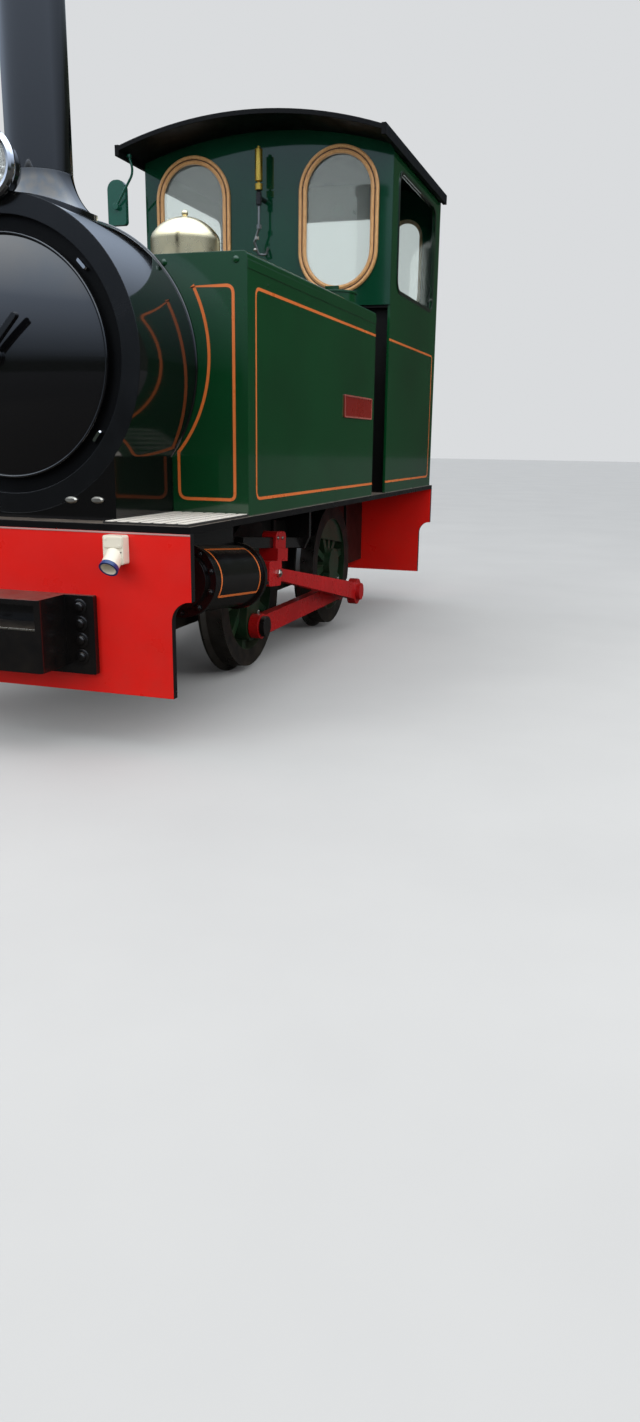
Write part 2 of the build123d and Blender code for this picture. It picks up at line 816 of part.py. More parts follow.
# Smokebox door: dished plate with a turned edge, hinge lugs and a centre dart
with BuildPart() as smokebox_door:
    with BuildSketch(Plane(origin=(0, door_back, boiler_axis), x_dir=(1, 0, 0), z_dir=(0, 0, -1))):
        with BuildLine():
            rim = Line((0, 0), (door_radius, 0))
            edge = Line(rim @ 1, (door_radius, door_edge))
            middle = cap_middle(door_radius, door_dish)
            dish = ThreePointArc(edge @ 1, (middle[0], door_edge + middle[1]), (0, door_edge + door_dish))
            Line(dish @ 1, rim @ 0)
        make_face()
    revolve(axis=Axis((0, door_back, boiler_axis), (0, 1, 0)))
    for lift in (-door_hinge_lift, door_hinge_lift):
        with BuildSketch(Plane.XY.offset(boiler_axis + lift - hinge_strap_height / 2)):
            with Locations((hinge_x, hinge_y)):
                Circle(door_hinge_radius + hinge_eye_wall)
            with Locations(((hinge_x - hinge_strap_reach) / 2, hinge_y - 3)):
                Rectangle(-hinge_x - hinge_strap_reach, hinge_strap_depth)
            with Locations((hinge_x, hinge_y)):
                Circle(door_hinge_radius + pin_clearance, mode=Mode.SUBTRACT)
        extrude(amount=hinge_strap_height)
    with BuildSketch(end_plane(door_crown + 6)):
        with Locations((0, boiler_axis)):
            Circle(dart_boss_radius)
    extrude(amount=dart_boss)
    with BuildSketch(end_plane(door_crown - dart_stand_off)):
        with Locations((0, boiler_axis)):
            with Locations(Location((0, 0, 0), (0, 0, dart_angle))):
                SlotCenterPoint((0, 0), (dart_length, 0), 2 * dart_radius)
    extrude(amount=2 * dart_radius)
smokebox_door.part.label = "smokebox_door"
export_step(smokebox_door.part, "parts/smokebox_door.step")

# Boiler: barrel behind the smokebox, deeper firebox running into the cab
backhead_y = cab_front + backhead_setback
firehole_z = plate_top + firehole_rise
firehole_hinge_x = -146
firehole_hinge_y = backhead_y + 20
firehole_gap = 6
firehole_pin_radius = 8
firehole_pin_half = 90
firehole_lug_lift = 88
firehole_lug_height = 20
firehole_strap_lift = 50
firehole_strap_height = 24
firehole_strap_depth = 12
firehole_door_width = 240
firehole_door_height = 190
firehole_door_thickness = 16
firehole_handle_x = 88
firehole_handle_depth = 24
barrel_flank = 140
throat_height = 70
with BuildPart() as boiler:
    with BuildSketch(end_plane(smokebox_front + smokebox_length)):
        with Locations((0, boiler_axis)):
            Circle(barrel_radius)
    extrude(amount=-(firebox_front - smokebox_front - smokebox_length))
    with BuildSketch(end_plane(firebox_front)):
        with Locations((0, boiler_axis)):
            Circle(barrel_radius)
        with BuildLine():
            Polyline(
                (-barrel_radius, boiler_axis),
                (-barrel_radius, boiler_axis - barrel_flank),
                (-firebox_half_width, plate_top + throat_height),
                (-firebox_half_width, firebox_bottom),
                (firebox_half_width, firebox_bottom),
                (firebox_half_width, plate_top + throat_height),
                (barrel_radius, boiler_axis - barrel_flank),
                (barrel_radius, boiler_axis),
                close=True,
            )
        make_face()
    extrude(amount=-(backhead_y - firebox_front))
    for lift in (-firehole_lug_lift, firehole_lug_lift):
        with BuildSketch(Plane.XY.offset(firehole_z + lift - firehole_lug_height / 2)):
            with Locations((firehole_hinge_x, (backhead_y + firehole_hinge_y) / 2)):
                Rectangle(2 * firehole_pin_radius + 4, firehole_hinge_y - backhead_y)
            with Locations((firehole_hinge_x, firehole_hinge_y)):
                Circle(firehole_pin_radius + 4)
        extrude(amount=firehole_lug_height)
    with BuildSketch(Plane.XY.offset(firehole_z - firehole_pin_half)):
        with Locations((firehole_hinge_x, firehole_hinge_y)):
            Circle(firehole_pin_radius)
    extrude(amount=2 * firehole_pin_half)
boiler.part.label = "boiler"
export_step(boiler.part, "parts/boiler.step")

# Chimney base: a skirt fitted to the drum, sweeping in to the pipe
chimney_foot = boiler_axis + sqrt(smokebox_radius ** 2 - chimney_skirt_radius ** 2)
flare_foot = boiler_axis + smokebox_radius - 8
flare_top = boiler_axis + smokebox_radius + chimney_flare_height
with BuildPart() as chimney_base:
    with BuildSketch(Plane.XY.offset(chimney_foot)):
        with Locations((0, chimney_y)):
            Circle(chimney_skirt_radius)
    extrude(amount=smokebox_radius + boiler_axis + chimney_skirt - chimney_foot)
    with BuildSketch(end_plane(chimney_y + chimney_skirt_radius + 5)):
        with Locations((0, boiler_axis)):
            Circle(smokebox_radius + chimney_skirt)
    extrude(amount=2 * chimney_skirt_radius + 10, mode=Mode.INTERSECT)
    with BuildSketch(Plane(origin=(0, chimney_y, 0), x_dir=(1, 0, 0), z_dir=(0, -1, 0))):
        with BuildLine():
            foot = Line((0, chimney_foot), (chimney_flare_radius, chimney_foot))
            rise = Line(foot @ 1, (chimney_flare_radius, flare_foot))
            flare = ThreePointArc(
                rise @ 1,
                (chimney_radius + 14, boiler_axis + smokebox_radius + chimney_flare_height * 0.45),
                (chimney_radius, flare_top),
            )
            top = Line(flare @ 1, (0, flare_top))
            Line(top @ 1, foot @ 0)
        make_face()
    revolve(axis=Axis((0, chimney_y, 0), (0, 0, 1)))
    with BuildSketch(end_plane(chimney_y + chimney_skirt_radius + 5)):
        with Locations((0, boiler_axis)):
            Circle(smokebox_radius)
    extrude(amount=2 * chimney_skirt_radius + 10, mode=Mode.SUBTRACT)
    with Locations((0, chimney_y, flare_top)):
        Hole(radius=chimney_bore, depth=flare_top - chimney_foot + 20)
chimney_base.part.label = "chimney_base"
export_step(chimney_base.part, "parts/chimney_base.step")

# Chimney: plain stovepipe with a thick rim at its top
with BuildPart() as chimney:
    with BuildSketch(Plane.XY.offset(flare_top)):
        with Locations((0, chimney_y)):
            Circle(chimney_radius)
    extrude(amount=chimney_top - flare_top)
    with BuildSketch(Plane.XY.offset(chimney_top - chimney_rim_height)):
        with Locations((0, chimney_y)):
            Circle(chimney_rim_radius)
    extrude(amount=chimney_rim_height)
    with Locations((0, chimney_y, chimney_top)):
        Hole(radius=chimney_bore, depth=chimney_top - flare_top)
chimney.part.label = "chimney"
export_step(chimney.part, "parts/chimney.step")

# Steam dome: polished bell on a flared foot, with a turned finial
dome_foot = boiler_axis + sqrt(barrel_radius ** 2 - dome_radius ** 2) - 4
with BuildPart() as steam_dome:
    with BuildSketch(Plane(origin=(0, dome_y, 0), x_dir=(1, 0, 0), z_dir=(0, -1, 0))):
        with BuildLine():
            foot = Line((0, dome_foot), (dome_radius + dome_flare, dome_foot))
            flare = ThreePointArc(
                foot @ 1,
                (dome_radius + dome_flare / 4, boiler_axis + barrel_radius + 12),
                (dome_radius, boiler_axis + barrel_radius + dome_flare_height),
            )
            wall = Line(flare @ 1, (dome_radius, dome_top - dome_crown))
            middle = cap_middle(dome_radius, dome_crown)
            crown = ThreePointArc(wall @ 1, (middle[0], dome_top - dome_crown + middle[1]), (0, dome_top))
            Line(crown @ 1, foot @ 0)
        make_face()
    revolve(axis=Axis((0, dome_y, 0), (0, 0, 1)))
    shoulder = steam_dome.edges().filter_by(GeomType.CIRCLE).filter_by_position(
        Axis.Z, dome_top - dome_crown - 1, dome_top - dome_crown + 1)
    fillet(shoulder, radius=dome_shoulder)
    with BuildSketch(end_plane(dome_y + 2 * dome_radius)):
        with Locations((0, boiler_axis)):
            Circle(barrel_radius)
    extrude(amount=4 * dome_radius, mode=Mode.SUBTRACT)
    with BuildSketch(Plane.XY.offset(dome_top - finial_radius / 2)):
        with Locations((0, dome_y)):
            Circle(finial_radius * 0.62)
    extrude(amount=finial_top - dome_top - finial_radius / 2)
    with Locations((0, dome_y, finial_top - finial_radius)):
        Sphere(finial_radius)
steam_dome.part.label = "steam_dome"
export_step(steam_dome.part, "parts/steam_dome.step")

# Safety valves: two spring columns on a low seat behind the dome
valve_base = boiler_axis + barrel_radius
with BuildPart() as safety_valves:
    with BuildSketch(Plane.XY.offset(valve_base - 12)):
        with Locations((0, valve_y)):
            RectangleRounded(valve_seat_width, valve_seat_length, 20)
    extrude(amount=valve_seat_height + 12)
    for offset_x in (-valve_offset, valve_offset):
        with BuildSketch(Plane.XY.offset(valve_base + valve_seat_height - 4)):
            with Locations((offset_x, valve_y)):
                Circle(valve_body_radius)
        extrude(amount=valve_body_height)
        with BuildSketch(Plane.XY.offset(valve_base + valve_seat_height + valve_body_height - 4)):
            with Locations((offset_x, valve_y)):
                Circle(valve_cap_radius)
        extrude(amount=valve_cap_height)
    with BuildSketch(end_plane(valve_y + 100)):
        with Locations((0, boiler_axis)):
            Circle(barrel_radius)
    extrude(amount=200, mode=Mode.SUBTRACT)
safety_valves.part.label = "safety_valves"
export_step(safety_valves.part, "parts/safety_valves.step")

# Headlamp: round drum on a bracket from the smokebox, with a glass lens
lamp_foot = boiler_axis + sqrt(smokebox_radius ** 2 - (lamp_bracket_width / 2) ** 2)
with BuildPart() as headlamp:
    with BuildSketch(Plane(origin=(0, lamp_front, lamp_z), x_dir=(1, 0, 0), z_dir=(0, 0, 1))):
        with BuildLine():
            face = Line((0, 0), (lamp_radius, 0))
            drum = Line(face @ 1, (lamp_radius, lamp_length - lamp_bowl))
            middle = cap_middle(lamp_radius, lamp_bowl)
            bowl = ThreePointArc(drum @ 1, (middle[0], lamp_length - lamp_bowl + middle[1]), (0, lamp_length))
            Line(bowl @ 1, face @ 0)
        make_face()
    revolve(axis=Axis((0, lamp_front, lamp_z), (0, 1, 0)))
    with BuildSketch(end_plane(lamp_front)):
        with Locations((0, lamp_z)):
            Circle(lamp_radius - lamp_wall)
    extrude(amount=lamp_bowl - lamp_length, mode=Mode.SUBTRACT)
    with BuildSketch(Plane.XY.offset(lamp_foot - 14)):
        with Locations((0, smokebox_front + lamp_bracket_length / 2)):
            Rectangle(lamp_bracket_width, lamp_bracket_length)
    extrude(amount=lamp_z - lamp_foot - lamp_radius * 0.6)
    with BuildSketch(end_plane(smokebox_front + 100)):
        with Locations((0, boiler_axis)):
            Circle(smokebox_radius + seat_clearance)
    extrude(amount=200, mode=Mode.SUBTRACT)
    with BuildSketch(end_plane(lamp_front)):
        with Locations((0, lamp_z)):
            Circle(lamp_radius - lamp_wall)
    extrude(amount=lamp_bowl - lamp_length, mode=Mode.SUBTRACT)
headlamp.part.label = "headlamp"
export_step(headlamp.part, "parts/headlamp.step")

with BuildPart() as headlamp_lens:
    with BuildSketch(end_plane(lamp_front + lens_setback)):
        with Locations((0, lamp_z)):
            Circle(lamp_radius - lamp_wall)
    extrude(amount=-lens_thickness)
headlamp_lens.part.label = "headlamp_lens"
export_step(headlamp_lens.part, "parts/headlamp_lens.step")

# Side tanks: long boxes with a front apron cut round the smokebox and a filler neck
with BuildPart() as side_tanks:
    with BuildSketch(Plane.XY.offset(plate_top)):
        box_front = tank_front + tank_apron
        with Locations(((tank_inner + tank_half_width) / 2, (box_front + tank_rear) / 2)):
            Rectangle(tank_half_width - tank_inner, tank_rear - box_front)
    extrude(amount=tank_top - plate_top)
    with BuildSketch(end_plane(tank_front)):
        with Locations((tank_half_width / 2, (plate_top + tank_top) / 2)):
            Rectangle(tank_half_width, tank_top - plate_top)
        with Locations((0, boiler_axis)):
            Circle(smokebox_radius + 2 * seat_clearance, mode=Mode.SUBTRACT)
        below = plate_top + (boiler_axis - plate_top) / 2
        with Locations((saddle_half_width / 2, (plate_top + below) / 2)):
            Rectangle(saddle_half_width + 2 * seat_clearance, below - plate_top + 2, mode=Mode.SUBTRACT)
    extrude(amount=-tank_apron)
    outer_edges = side_tanks.edges().filter_by(Axis.Y).group_by(Axis.X)[-1].sort_by(Axis.Z)[-1]
    fillet(outer_edges, radius=tank_edge_radius)
    neck_x = (tank_inner + tank_half_width) / 2
    with BuildSketch(Plane.XY.offset(tank_top)):
        with Locations((neck_x, filler_y)):
            Circle(filler_radius)
    extrude(amount=filler_height)
    with Locations((neck_x, filler_y, tank_top + filler_height)):
        Hole(radius=filler_bore, depth=filler_height + filler_depth)
    lid_pin_y = filler_y + filler_radius + lid_pin_setback
    lid_pin_z = tank_top + filler_height + seat_clearance + lid_thickness / 2
    for lug_x in (neck_x - lid_lug_half, neck_x + lid_lug_half - lid_lug_width):
        with BuildSketch(Plane.YZ.offset(lug_x)):
            with Locations((lid_pin_y, (tank_top + lid_pin_z) / 2)):
                Rectangle(2 * lid_lug_radius, lid_pin_z - tank_top)
            with Locations((lid_pin_y, lid_pin_z)):
                Circle(lid_lug_radius)
        extrude(amount=lid_lug_width)
    with BuildSketch(Plane.YZ.offset(neck_x - lid_lug_half)):
        with Locations((lid_pin_y, lid_pin_z)):
            Circle(lid_pin_radius)
    extrude(amount=2 * lid_lug_half)
    mirror(about=Plane.YZ)
side_tanks.part.label = "side_tanks"
export_step(side_tanks.part, "parts/side_tanks.step")

# Filler lids: flat hinged covers on the tank necks
for side, sign, angle in sides:
    lid_plane = Plane.XY.offset(tank_top + filler_height + seat_clearance)
    with BuildPart() as filler_lid:
        with BuildSketch(lid_plane):
            with Locations((sign * neck_x, filler_y)):
                Circle(filler_radius + lid_lap)
            with Locations((sign * neck_x, (filler_y + lid_pin_y) / 2)):
                Rectangle(lid_strap_width, lid_pin_y - filler_y)
        extrude(amount=lid_thickness)
        with BuildSketch(lid_plane.offset(lid_thickness)):
            with Locations((sign * neck_x, filler_y - filler_radius + lid_pin_setback)):
                RectangleRounded(lid_handle_width, 18, 6)
        extrude(amount=lid_handle_height)
        with BuildSketch(Plane.YZ.offset(sign * neck_x)):
            with Locations((lid_pin_y, lid_pin_z)):
                Circle(lid_pin_radius + 5)
        extrude(amount=lid_strap_width / 2, both=True)
        with BuildSketch(Plane.YZ.offset(sign * neck_x)):
            with Locations((lid_pin_y, lid_pin_z)):
                Circle(lid_pin_radius + pin_clearance)
        extrude(amount=20, both=True, mode=Mode.SUBTRACT)
    filler_lid.part.label = f"{side}_filler_lid"
    export_step(filler_lid.part, f"parts/{side}_filler_lid.step")

# Cab roof: one arched sheet with turned-down gutters
roof_rise = roof_crown - roof_tip
roof_arc = (roof_half_width ** 2 + roof_rise ** 2) / (2 * roof_rise)
roof_centre = roof_crown - roof_arc
with BuildPart() as cab_roof:
    with BuildSketch(end_plane(roof_front)):
        with Locations((0, roof_centre)):
            Circle(roof_arc)
            Circle(roof_arc - roof_thickness, mode=Mode.SUBTRACT)
        with Locations((0, roof_crown)):
            Rectangle(2 * roof_half_width, 2 * (roof_rise + roof_thickness), mode=Mode.INTERSECT)
        for sign in (-1, 1):
            with Locations((sign * (roof_half_width - roof_thickness / 2), roof_tip - gutter_drop / 2)):
                Rectangle(roof_thickness, gutter_drop + roof_thickness)
    extrude(amount=-(roof_rear - roof_front))
cab_roof.part.label = "cab_roof"
export_step(cab_roof.part, "parts/cab_roof.step")

# Cab end sheets, arched to the underside of the roof
roof_underside = roof_arc - roof_thickness - seat_clearance
end_half_width = cab_half_width - cab_wall - seat_clearance
with BuildPart() as cab_front_sheet:
    with BuildSketch(end_plane(cab_front)):
        with Locations((0, (cab_sill + roof_crown) / 2)):
            Rectangle(2 * cab_half_width, roof_crown - cab_sill)
        with Locations((0, roof_centre)):
            Circle(roof_underside, mode=Mode.INTERSECT)
        with Locations((0, boiler_axis)):
            Circle(barrel_radius + seat_clearance, mode=Mode.SUBTRACT)
        for sign in (-1, 1):
            with Locations(Location((sign * window_centre, (window_bottom + window_top) / 2, 0), (0, 0, 90))):
                SlotOverall(window_top - window_bottom, window_width, mode=Mode.SUBTRACT)
    extrude(amount=-cab_wall)
cab_front_sheet.part.label = "cab_front_sheet"
export_step(cab_front_sheet.part, "parts/cab_front_sheet.step")

with BuildPart() as cab_apron:
    with BuildSketch(end_plane(cab_front + apron_setback)):
        with Locations((0, (plate_top + cab_sill) / 2)):
            Rectangle(2 * end_half_width, cab_sill - plate_top)
        with Locations((0, boiler_axis)):
            Circle(barrel_radius + seat_clearance, mode=Mode.SUBTRACT)
        with Locations((0, plate_top)):
            below_axis = boiler_axis - plate_top
            Rectangle(2 * (barrel_radius + seat_clearance), 2 * below_axis, mode=Mode.SUBTRACT)
    extrude(amount=-cab_wall)
    with BuildSketch(Plane.XY.offset(cab_sill)):
        with Locations((0, cab_front + cab_wall + (apron_setback) / 2)):
            Rectangle(2 * end_half_width, apron_setback)
    extrude(amount=-cab_wall)
    with BuildSketch(end_plane(cab_front)):
        with Locations((0, boiler_axis)):
            Circle(barrel_radius + seat_clearance)
    extrude(amount=-2 * apron_setback, mode=Mode.SUBTRACT)
cab_apron.part.label = "cab_apron"
export_step(cab_apron.part, "parts/cab_apron.step")

# Cab sides with their large open windows
with BuildPart() as cab_sides:
    with BuildSketch(Plane.YZ.offset(cab_half_width - cab_wall)):
        side_top = roof_centre + sqrt(roof_underside ** 2 - cab_half_width ** 2)
        side_front = cab_front + cab_wall + seat_clearance
        with Locations(((side_front + cab_rear) / 2, (plate_top + side_top) / 2)):
            Rectangle(cab_rear - side_front, side_top - plate_top)
        opening_y = (side_opening_front + side_opening_rear) / 2
        opening_z = (side_opening_sill + side_opening_top) / 2
        with Locations((opening_y, opening_z)):
            RectangleRounded(side_opening_rear - side_opening_front, side_opening_top - side_opening_sill,
                             opening_corner, mode=Mode.SUBTRACT)
    extrude(amount=cab_wall)
    mirror(about=Plane.YZ)
cab_sides.part.label = "cab_sides"
export_step(cab_sides.part, "parts/cab_sides.step")

# Cab rear sheet with the doorway, two small windows and the pintles of the door
door_hinge_x = -(doorway_half_width - door_hinge_inset)
door_hinge_y = cab_rear - cab_wall - door_leaf_gap - door_thickness - 2
door_hinge_heights = (plate_top + door_hinge_low, door_top - door_hinge_high)
with BuildPart() as cab_rear_sheet:
    with BuildSketch(end_plane(cab_rear)):
        with Locations((0, (plate_top + roof_crown) / 2)):
            Rectangle(2 * end_half_width, roof_crown - plate_top)
        with Locations((0, roof_centre)):
            Circle(roof_underside, mode=Mode.INTERSECT)
        with Locations((0, plate_top)):
            Rectangle(2 * doorway_half_width, 2 * (doorway_top - plate_top), mode=Mode.SUBTRACT)
        for sign in (-1, 1):
            rear_window_z = (rear_window_bottom + rear_window_top) / 2
            with Locations(Location((sign * rear_window_centre, rear_window_z, 0), (0, 0, 90))):
                SlotOverall(rear_window_top - rear_window_bottom, rear_window_width, mode=Mode.SUBTRACT)
    extrude(amount=cab_wall)
    for lift in door_hinge_heights:
        with BuildSketch(Plane.XY.offset(lift - door_lug_drop)):
            lug_x = (door_hinge_x - doorway_half_width - door_lug_reach) / 2
            with Locations((lug_x, cab_rear - cab_wall - 4)):
                Rectangle(door_hinge_x + doorway_half_width + door_lug_reach, 8)
            with Locations((door_hinge_x, (door_hinge_y + cab_rear - cab_wall) / 2)):
                Rectangle(2 * door_pin_radius + 6, cab_rear - cab_wall - door_hinge_y)
            with Locations((door_hinge_x, door_hinge_y)):
                Circle(door_pin_radius + door_eye_wall)
        extrude(amount=door_lug_height)
        with BuildSketch(Plane.XY.offset(lift - door_lug_drop)):
            with Locations((door_hinge_x, door_hinge_y)):
                Circle(door_pin_radius)
        extrude(amount=door_pintle)
cab_rear_sheet.part.label = "cab_rear_sheet"
export_step(cab_rear_sheet.part, "parts/cab_rear_sheet.step")

# Cab floor boards, open round the firebox
with BuildPart() as cab_floor:
    with BuildSketch(Plane.XY.offset(plate_top)):
        floor_front = cab_front + apron_setback + cab_wall + seat_clearance
        floor_rear = cab_rear - cab_wall - seat_clearance
        with Locations((0, (floor_front + floor_rear) / 2)):
            Rectangle(2 * end_half_width, floor_rear - floor_front)
        with Locations((0, floor_front)):
            Rectangle(2 * firebox_half_width + 4, 2 * (backhead_y + 2 - floor_front), mode=Mode.SUBTRACT)
    extrude(amount=floor_thickness)
cab_floor.part.label = "cab_floor"
export_step(cab_floor.part, "parts/cab_floor.step")

# Cab door: half-height leaf in the rear doorway, hinged on the right, opening inwards
with BuildPart() as cab_door:
    leaf_bottom = plate_top + floor_thickness + swing_clearance
    leaf_left = door_hinge_x + 18
    leaf_right = doorway_half_width - swing_clearance
    leaf_back = cab_rear - cab_wall - door_leaf_gap
    with BuildSketch(end_plane(leaf_back)):
        with Locations(((leaf_left + leaf_right) / 2, (leaf_bottom + door_top) / 2)):
            Rectangle(leaf_right - leaf_left, door_top - leaf_bottom)
    extrude(amount=-door_thickness)
    for lift in door_hinge_heights:
        with BuildSketch(Plane.XY.offset(lift - door_strap_height / 2)):
            with Locations((door_hinge_x + door_strap_width / 2, (door_hinge_y + leaf_back) / 2)):
                Rectangle(door_strap_width, leaf_back - door_hinge_y)
            with Locations((door_hinge_x, door_hinge_y)):
                Circle(door_pin_radius + door_eye_wall)
                Circle(door_pin_radius + pin_clearance, mode=Mode.SUBTRACT)
        extrude(amount=door_strap_height)
cab_door.part.label = "cab_door"
export_step(cab_door.part, "parts/cab_door.step")

# Window frames and panes, front pair and rear pair
windows = (
    (cab_front, -1, window_centre, window_width, window_bottom, window_top),
    (cab_rear, 1, rear_window_centre, rear_window_width, rear_window_bottom, rear_window_top),
)
with BuildPart() as window_frames:
    for face_y, outward, centre, width, bottom, top in windows:
        with BuildSketch(end_plane(face_y)):
            for sign in (-1, 1):
                with Locations(Location((sign * centre, (bottom + top) / 2, 0), (0, 0, 90))):
                    SlotOverall(top - bottom + 2 * window_frame_lap, width + 2 * window_frame_lap)
                    lap = window_frame_width - window_frame_lap
                    SlotOverall(top - bottom - 2 * lap, width - 2 * lap, mode=Mode.SUBTRACT)
        extrude(amount=-outward * window_frame_depth)
window_frames.part.label = "window_frames"
export_step(window_frames.part, "parts/window_frames.step")

with BuildPart() as window_panes:
    for face_y, outward, centre, width, bottom, top in windows:
        with BuildSketch(end_plane(face_y - outward * (cab_wall + glass_thickness) / 2)):
            for sign in (-1, 1):
                with Locations(Location((sign * centre, (bottom + top) / 2, 0), (0, 0, 90))):
                    SlotOverall(top - bottom - 1, width - 1)
        extrude(amount=-outward * glass_thickness)
window_panes.part.label = "window_panes"
export_step(window_panes.part, "parts/window_panes.step")

# Whistle: bell and valve on a bracket from the cab sheet, its pipe hooked back into the sheet
valve_foot = whistle_bottom - whistle_valve_height
bell_gap = 26
with BuildPart() as whistle:
    with BuildSketch(Plane(origin=(0, whistle_y, 0), x_dir=(1, 0, 0), z_dir=(0, -1, 0))):
        with BuildLine():
            Polyline(
                (0, valve_foot),
                (whistle_valve_radius, valve_foot),
                (whistle_valve_radius, whistle_bottom - 12),
                (whistle_pipe_radius + 2, whistle_bottom - 8),
                (whistle_radius, whistle_bottom),
                (whistle_radius, whistle_bottom + bell_gap),
                (whistle_pipe_radius, whistle_bottom + bell_gap + 3),
                (whistle_pipe_radius, whistle_bottom + bell_gap + 9),
                (whistle_radius, whistle_bottom + bell_gap + 12),
                (whistle_radius, whistle_top - 12),
                (whistle_pipe_radius + 2, whistle_top - 7),
                (whistle_pipe_radius + 2, whistle_top),
                (0, whistle_top),
                close=True,
            )
        make_face()
    revolve(axis=Axis((0, whistle_y, 0), (0, 0, 1)))
    with BuildSketch(end_plane(whistle_y)):
        with Locations((0, valve_foot + whistle_valve_height / 2)):
            Circle(whistle_valve_radius - 2)
    extrude(amount=-(cab_front - whistle_y))
    with BuildSketch(Plane.XY.offset(whistle_nut_z)):
        with Locations((0, whistle_y)):
            RegularPolygon(2 * whistle_pipe_radius + 1, 6)
    extrude(amount=18)
    with BuildLine():
        FilletPolyline(
            (0, whistle_y, valve_foot + 4),
            (0, whistle_y, whistle_nut_z + 6),
            (-24, whistle_y + 2, whistle_pipe_bottom + 52),
            (-8, whistle_y + 16, whistle_pipe_bottom),
            (20, whistle_y + 34, whistle_pipe_bottom),
            (20, cab_front - whistle_pipe_radius, whistle_pipe_bottom + 34),
            radius=12,
        )
    with BuildSketch(Plane(origin=(0, whistle_y, valve_foot + 4), z_dir=(0, 0, -1))):
        Circle(whistle_pipe_radius)
    sweep()
whistle.part.label = "whistle"
export_step(whistle.part, "parts/whistle.step")

# Driving mirror, far side only: its case hangs on a bent arm from under the roof's corner
arm_x = mirror_x + 108
arm_y = roof_front + 71
arm_foot_radius = 12
arm_foot_seat = 2
roof_inner = roof_arc - roof_thickness
arm_foot = roof_centre + sqrt(roof_inner ** 2 - (arm_x - arm_foot_radius) ** 2) - arm_foot_seat
with BuildPart() as mirror_arm:
    with BuildSketch(end_plane(mirror_y - mirror_depth / 2)):
        with Locations((mirror_x, mirror_z)):
            Rectangle(mirror_width, mirror_height)
    extrude(amount=-mirror_depth)
    corners = mirror_arm.edges().filter_by(Axis.Y).group_by(Axis.Z)
    fillet(corners[-1], radius=0.45 * mirror_width)
    corners = mirror_arm.edges().filter_by(Axis.Y).group_by(Axis.Z)
    fillet(corners[0], radius=16)
    clamp_y = mirror_y - mirror_depth / 2 - 22
    with BuildSketch(end_plane(clamp_y)):
        with Locations((mirror_x + 4, mirror_z - 20)):
            Circle(14)
    extrude(amount=mirror_y - clamp_y, dir=(0, 1, 0))
    with BuildSketch(Plane.XY.offset(arm_foot - 12)):
        with Locations((arm_x, arm_y)):
            Circle(arm_foot_radius)
    extrude(amount=12)
    with BuildLine():
        FilletPolyline(
            (arm_x, arm_y, arm_foot - 6),
            (arm_x + 20, arm_y + 5, mirror_z + 114),
            (mirror_x + 4, clamp_y + 10, mirror_z - 20),
            radius=60,
        )
    with BuildSketch(Plane(origin=(arm_x, arm_y, arm_foot - 6), z_dir=(0, 0, -1))):
        Circle(mirror_arm_radius)
    sweep()
mirror_arm.part.label = "mirror"
export_step(mirror_arm.part, "parts/mirror.step")

# Electrical socket on the front beam: shallow box with a spout pointing forward and down
with BuildPart() as lamp_socket:
    with BuildSketch(end_plane(front_face)):
        with Locations((socket_x, socket_z)):
            RectangleRounded(socket_width, socket_height, 7)
    extrude(amount=socket_depth)
    spout = Plane(origin=(socket_x, front_face - socket_depth * 0.65, socket_z - socket_height * 0.16),
                  x_dir=(1, 0, 0), z_dir=(0, -0.75, -0.66))
    with BuildSketch(spout):
        Circle(spout_radius)
    extrude(amount=spout_length)
    with BuildSketch(spout.offset(spout_length - spout_mouth)):
        Circle(spout_radius - spout_wall)
    extrude(amount=spout_mouth, mode=Mode.SUBTRACT)
lamp_socket.part.label = "lamp_socket"
export_step(lamp_socket.part, "parts/lamp_socket.step")

# Axleboxes in the horn gaps, each under its plate spring, hung from the running plate
spring_x = frame_outer + spring_width / 2 + 2
spring_base = axle_height + axlebox_height / 2
spring_top = spring_base + spring_seat + spring_leaf * spring_leaves
with BuildPart() as axleboxes:
    for axle_y in (front_axle, rear_axle):
        for sign in (-1, 1):
            with BuildSketch(Plane.YZ.offset(sign * (frame_inner + frame_plate / 2))):
                with Locations((axle_y, axle_height)):
                    Rectangle(axlebox_width, axlebox_height)
                    Circle(axle_radius + pin_clearance, mode=Mode.SUBTRACT)
            extrude(amount=frame_plate / 2 + axlebox_lip, both=True)
            for leaf in range(spring_leaves):
                length = spring_span * (1 - spring_step * (spring_leaves - 1 - leaf))
                with BuildSketch(Plane.YZ.offset(sign * spring_x)):
                    with Locations((axle_y, spring_base + spring_seat + spring_leaf * (leaf + 0.5))):
                        Rectangle(length, spring_leaf)
                extrude(amount=spring_width / 2, both=True)
            with BuildSketch(Plane.YZ.offset(sign * spring_x)):
                with Locations((axle_y, (spring_base + spring_top + spring_cap) / 2)):
                    Rectangle(spring_buckle, spring_top + spring_cap - spring_base)
                hanger_bottom = spring_top - spring_leaf
                for end in (-1, 1):
                    hanger_y = axle_y + end * (spring_span - spring_hanger) / 2
                    with Locations((hanger_y, (plate_bottom + hanger_bottom) / 2)):
                        Rectangle(spring_hanger, plate_bottom - hanger_bottom)
            extrude(amount=spring_width / 2, both=True)
axleboxes.part.label = "axleboxes_and_springs"
export_step(axleboxes.part, "parts/axleboxes_and_springs.step")

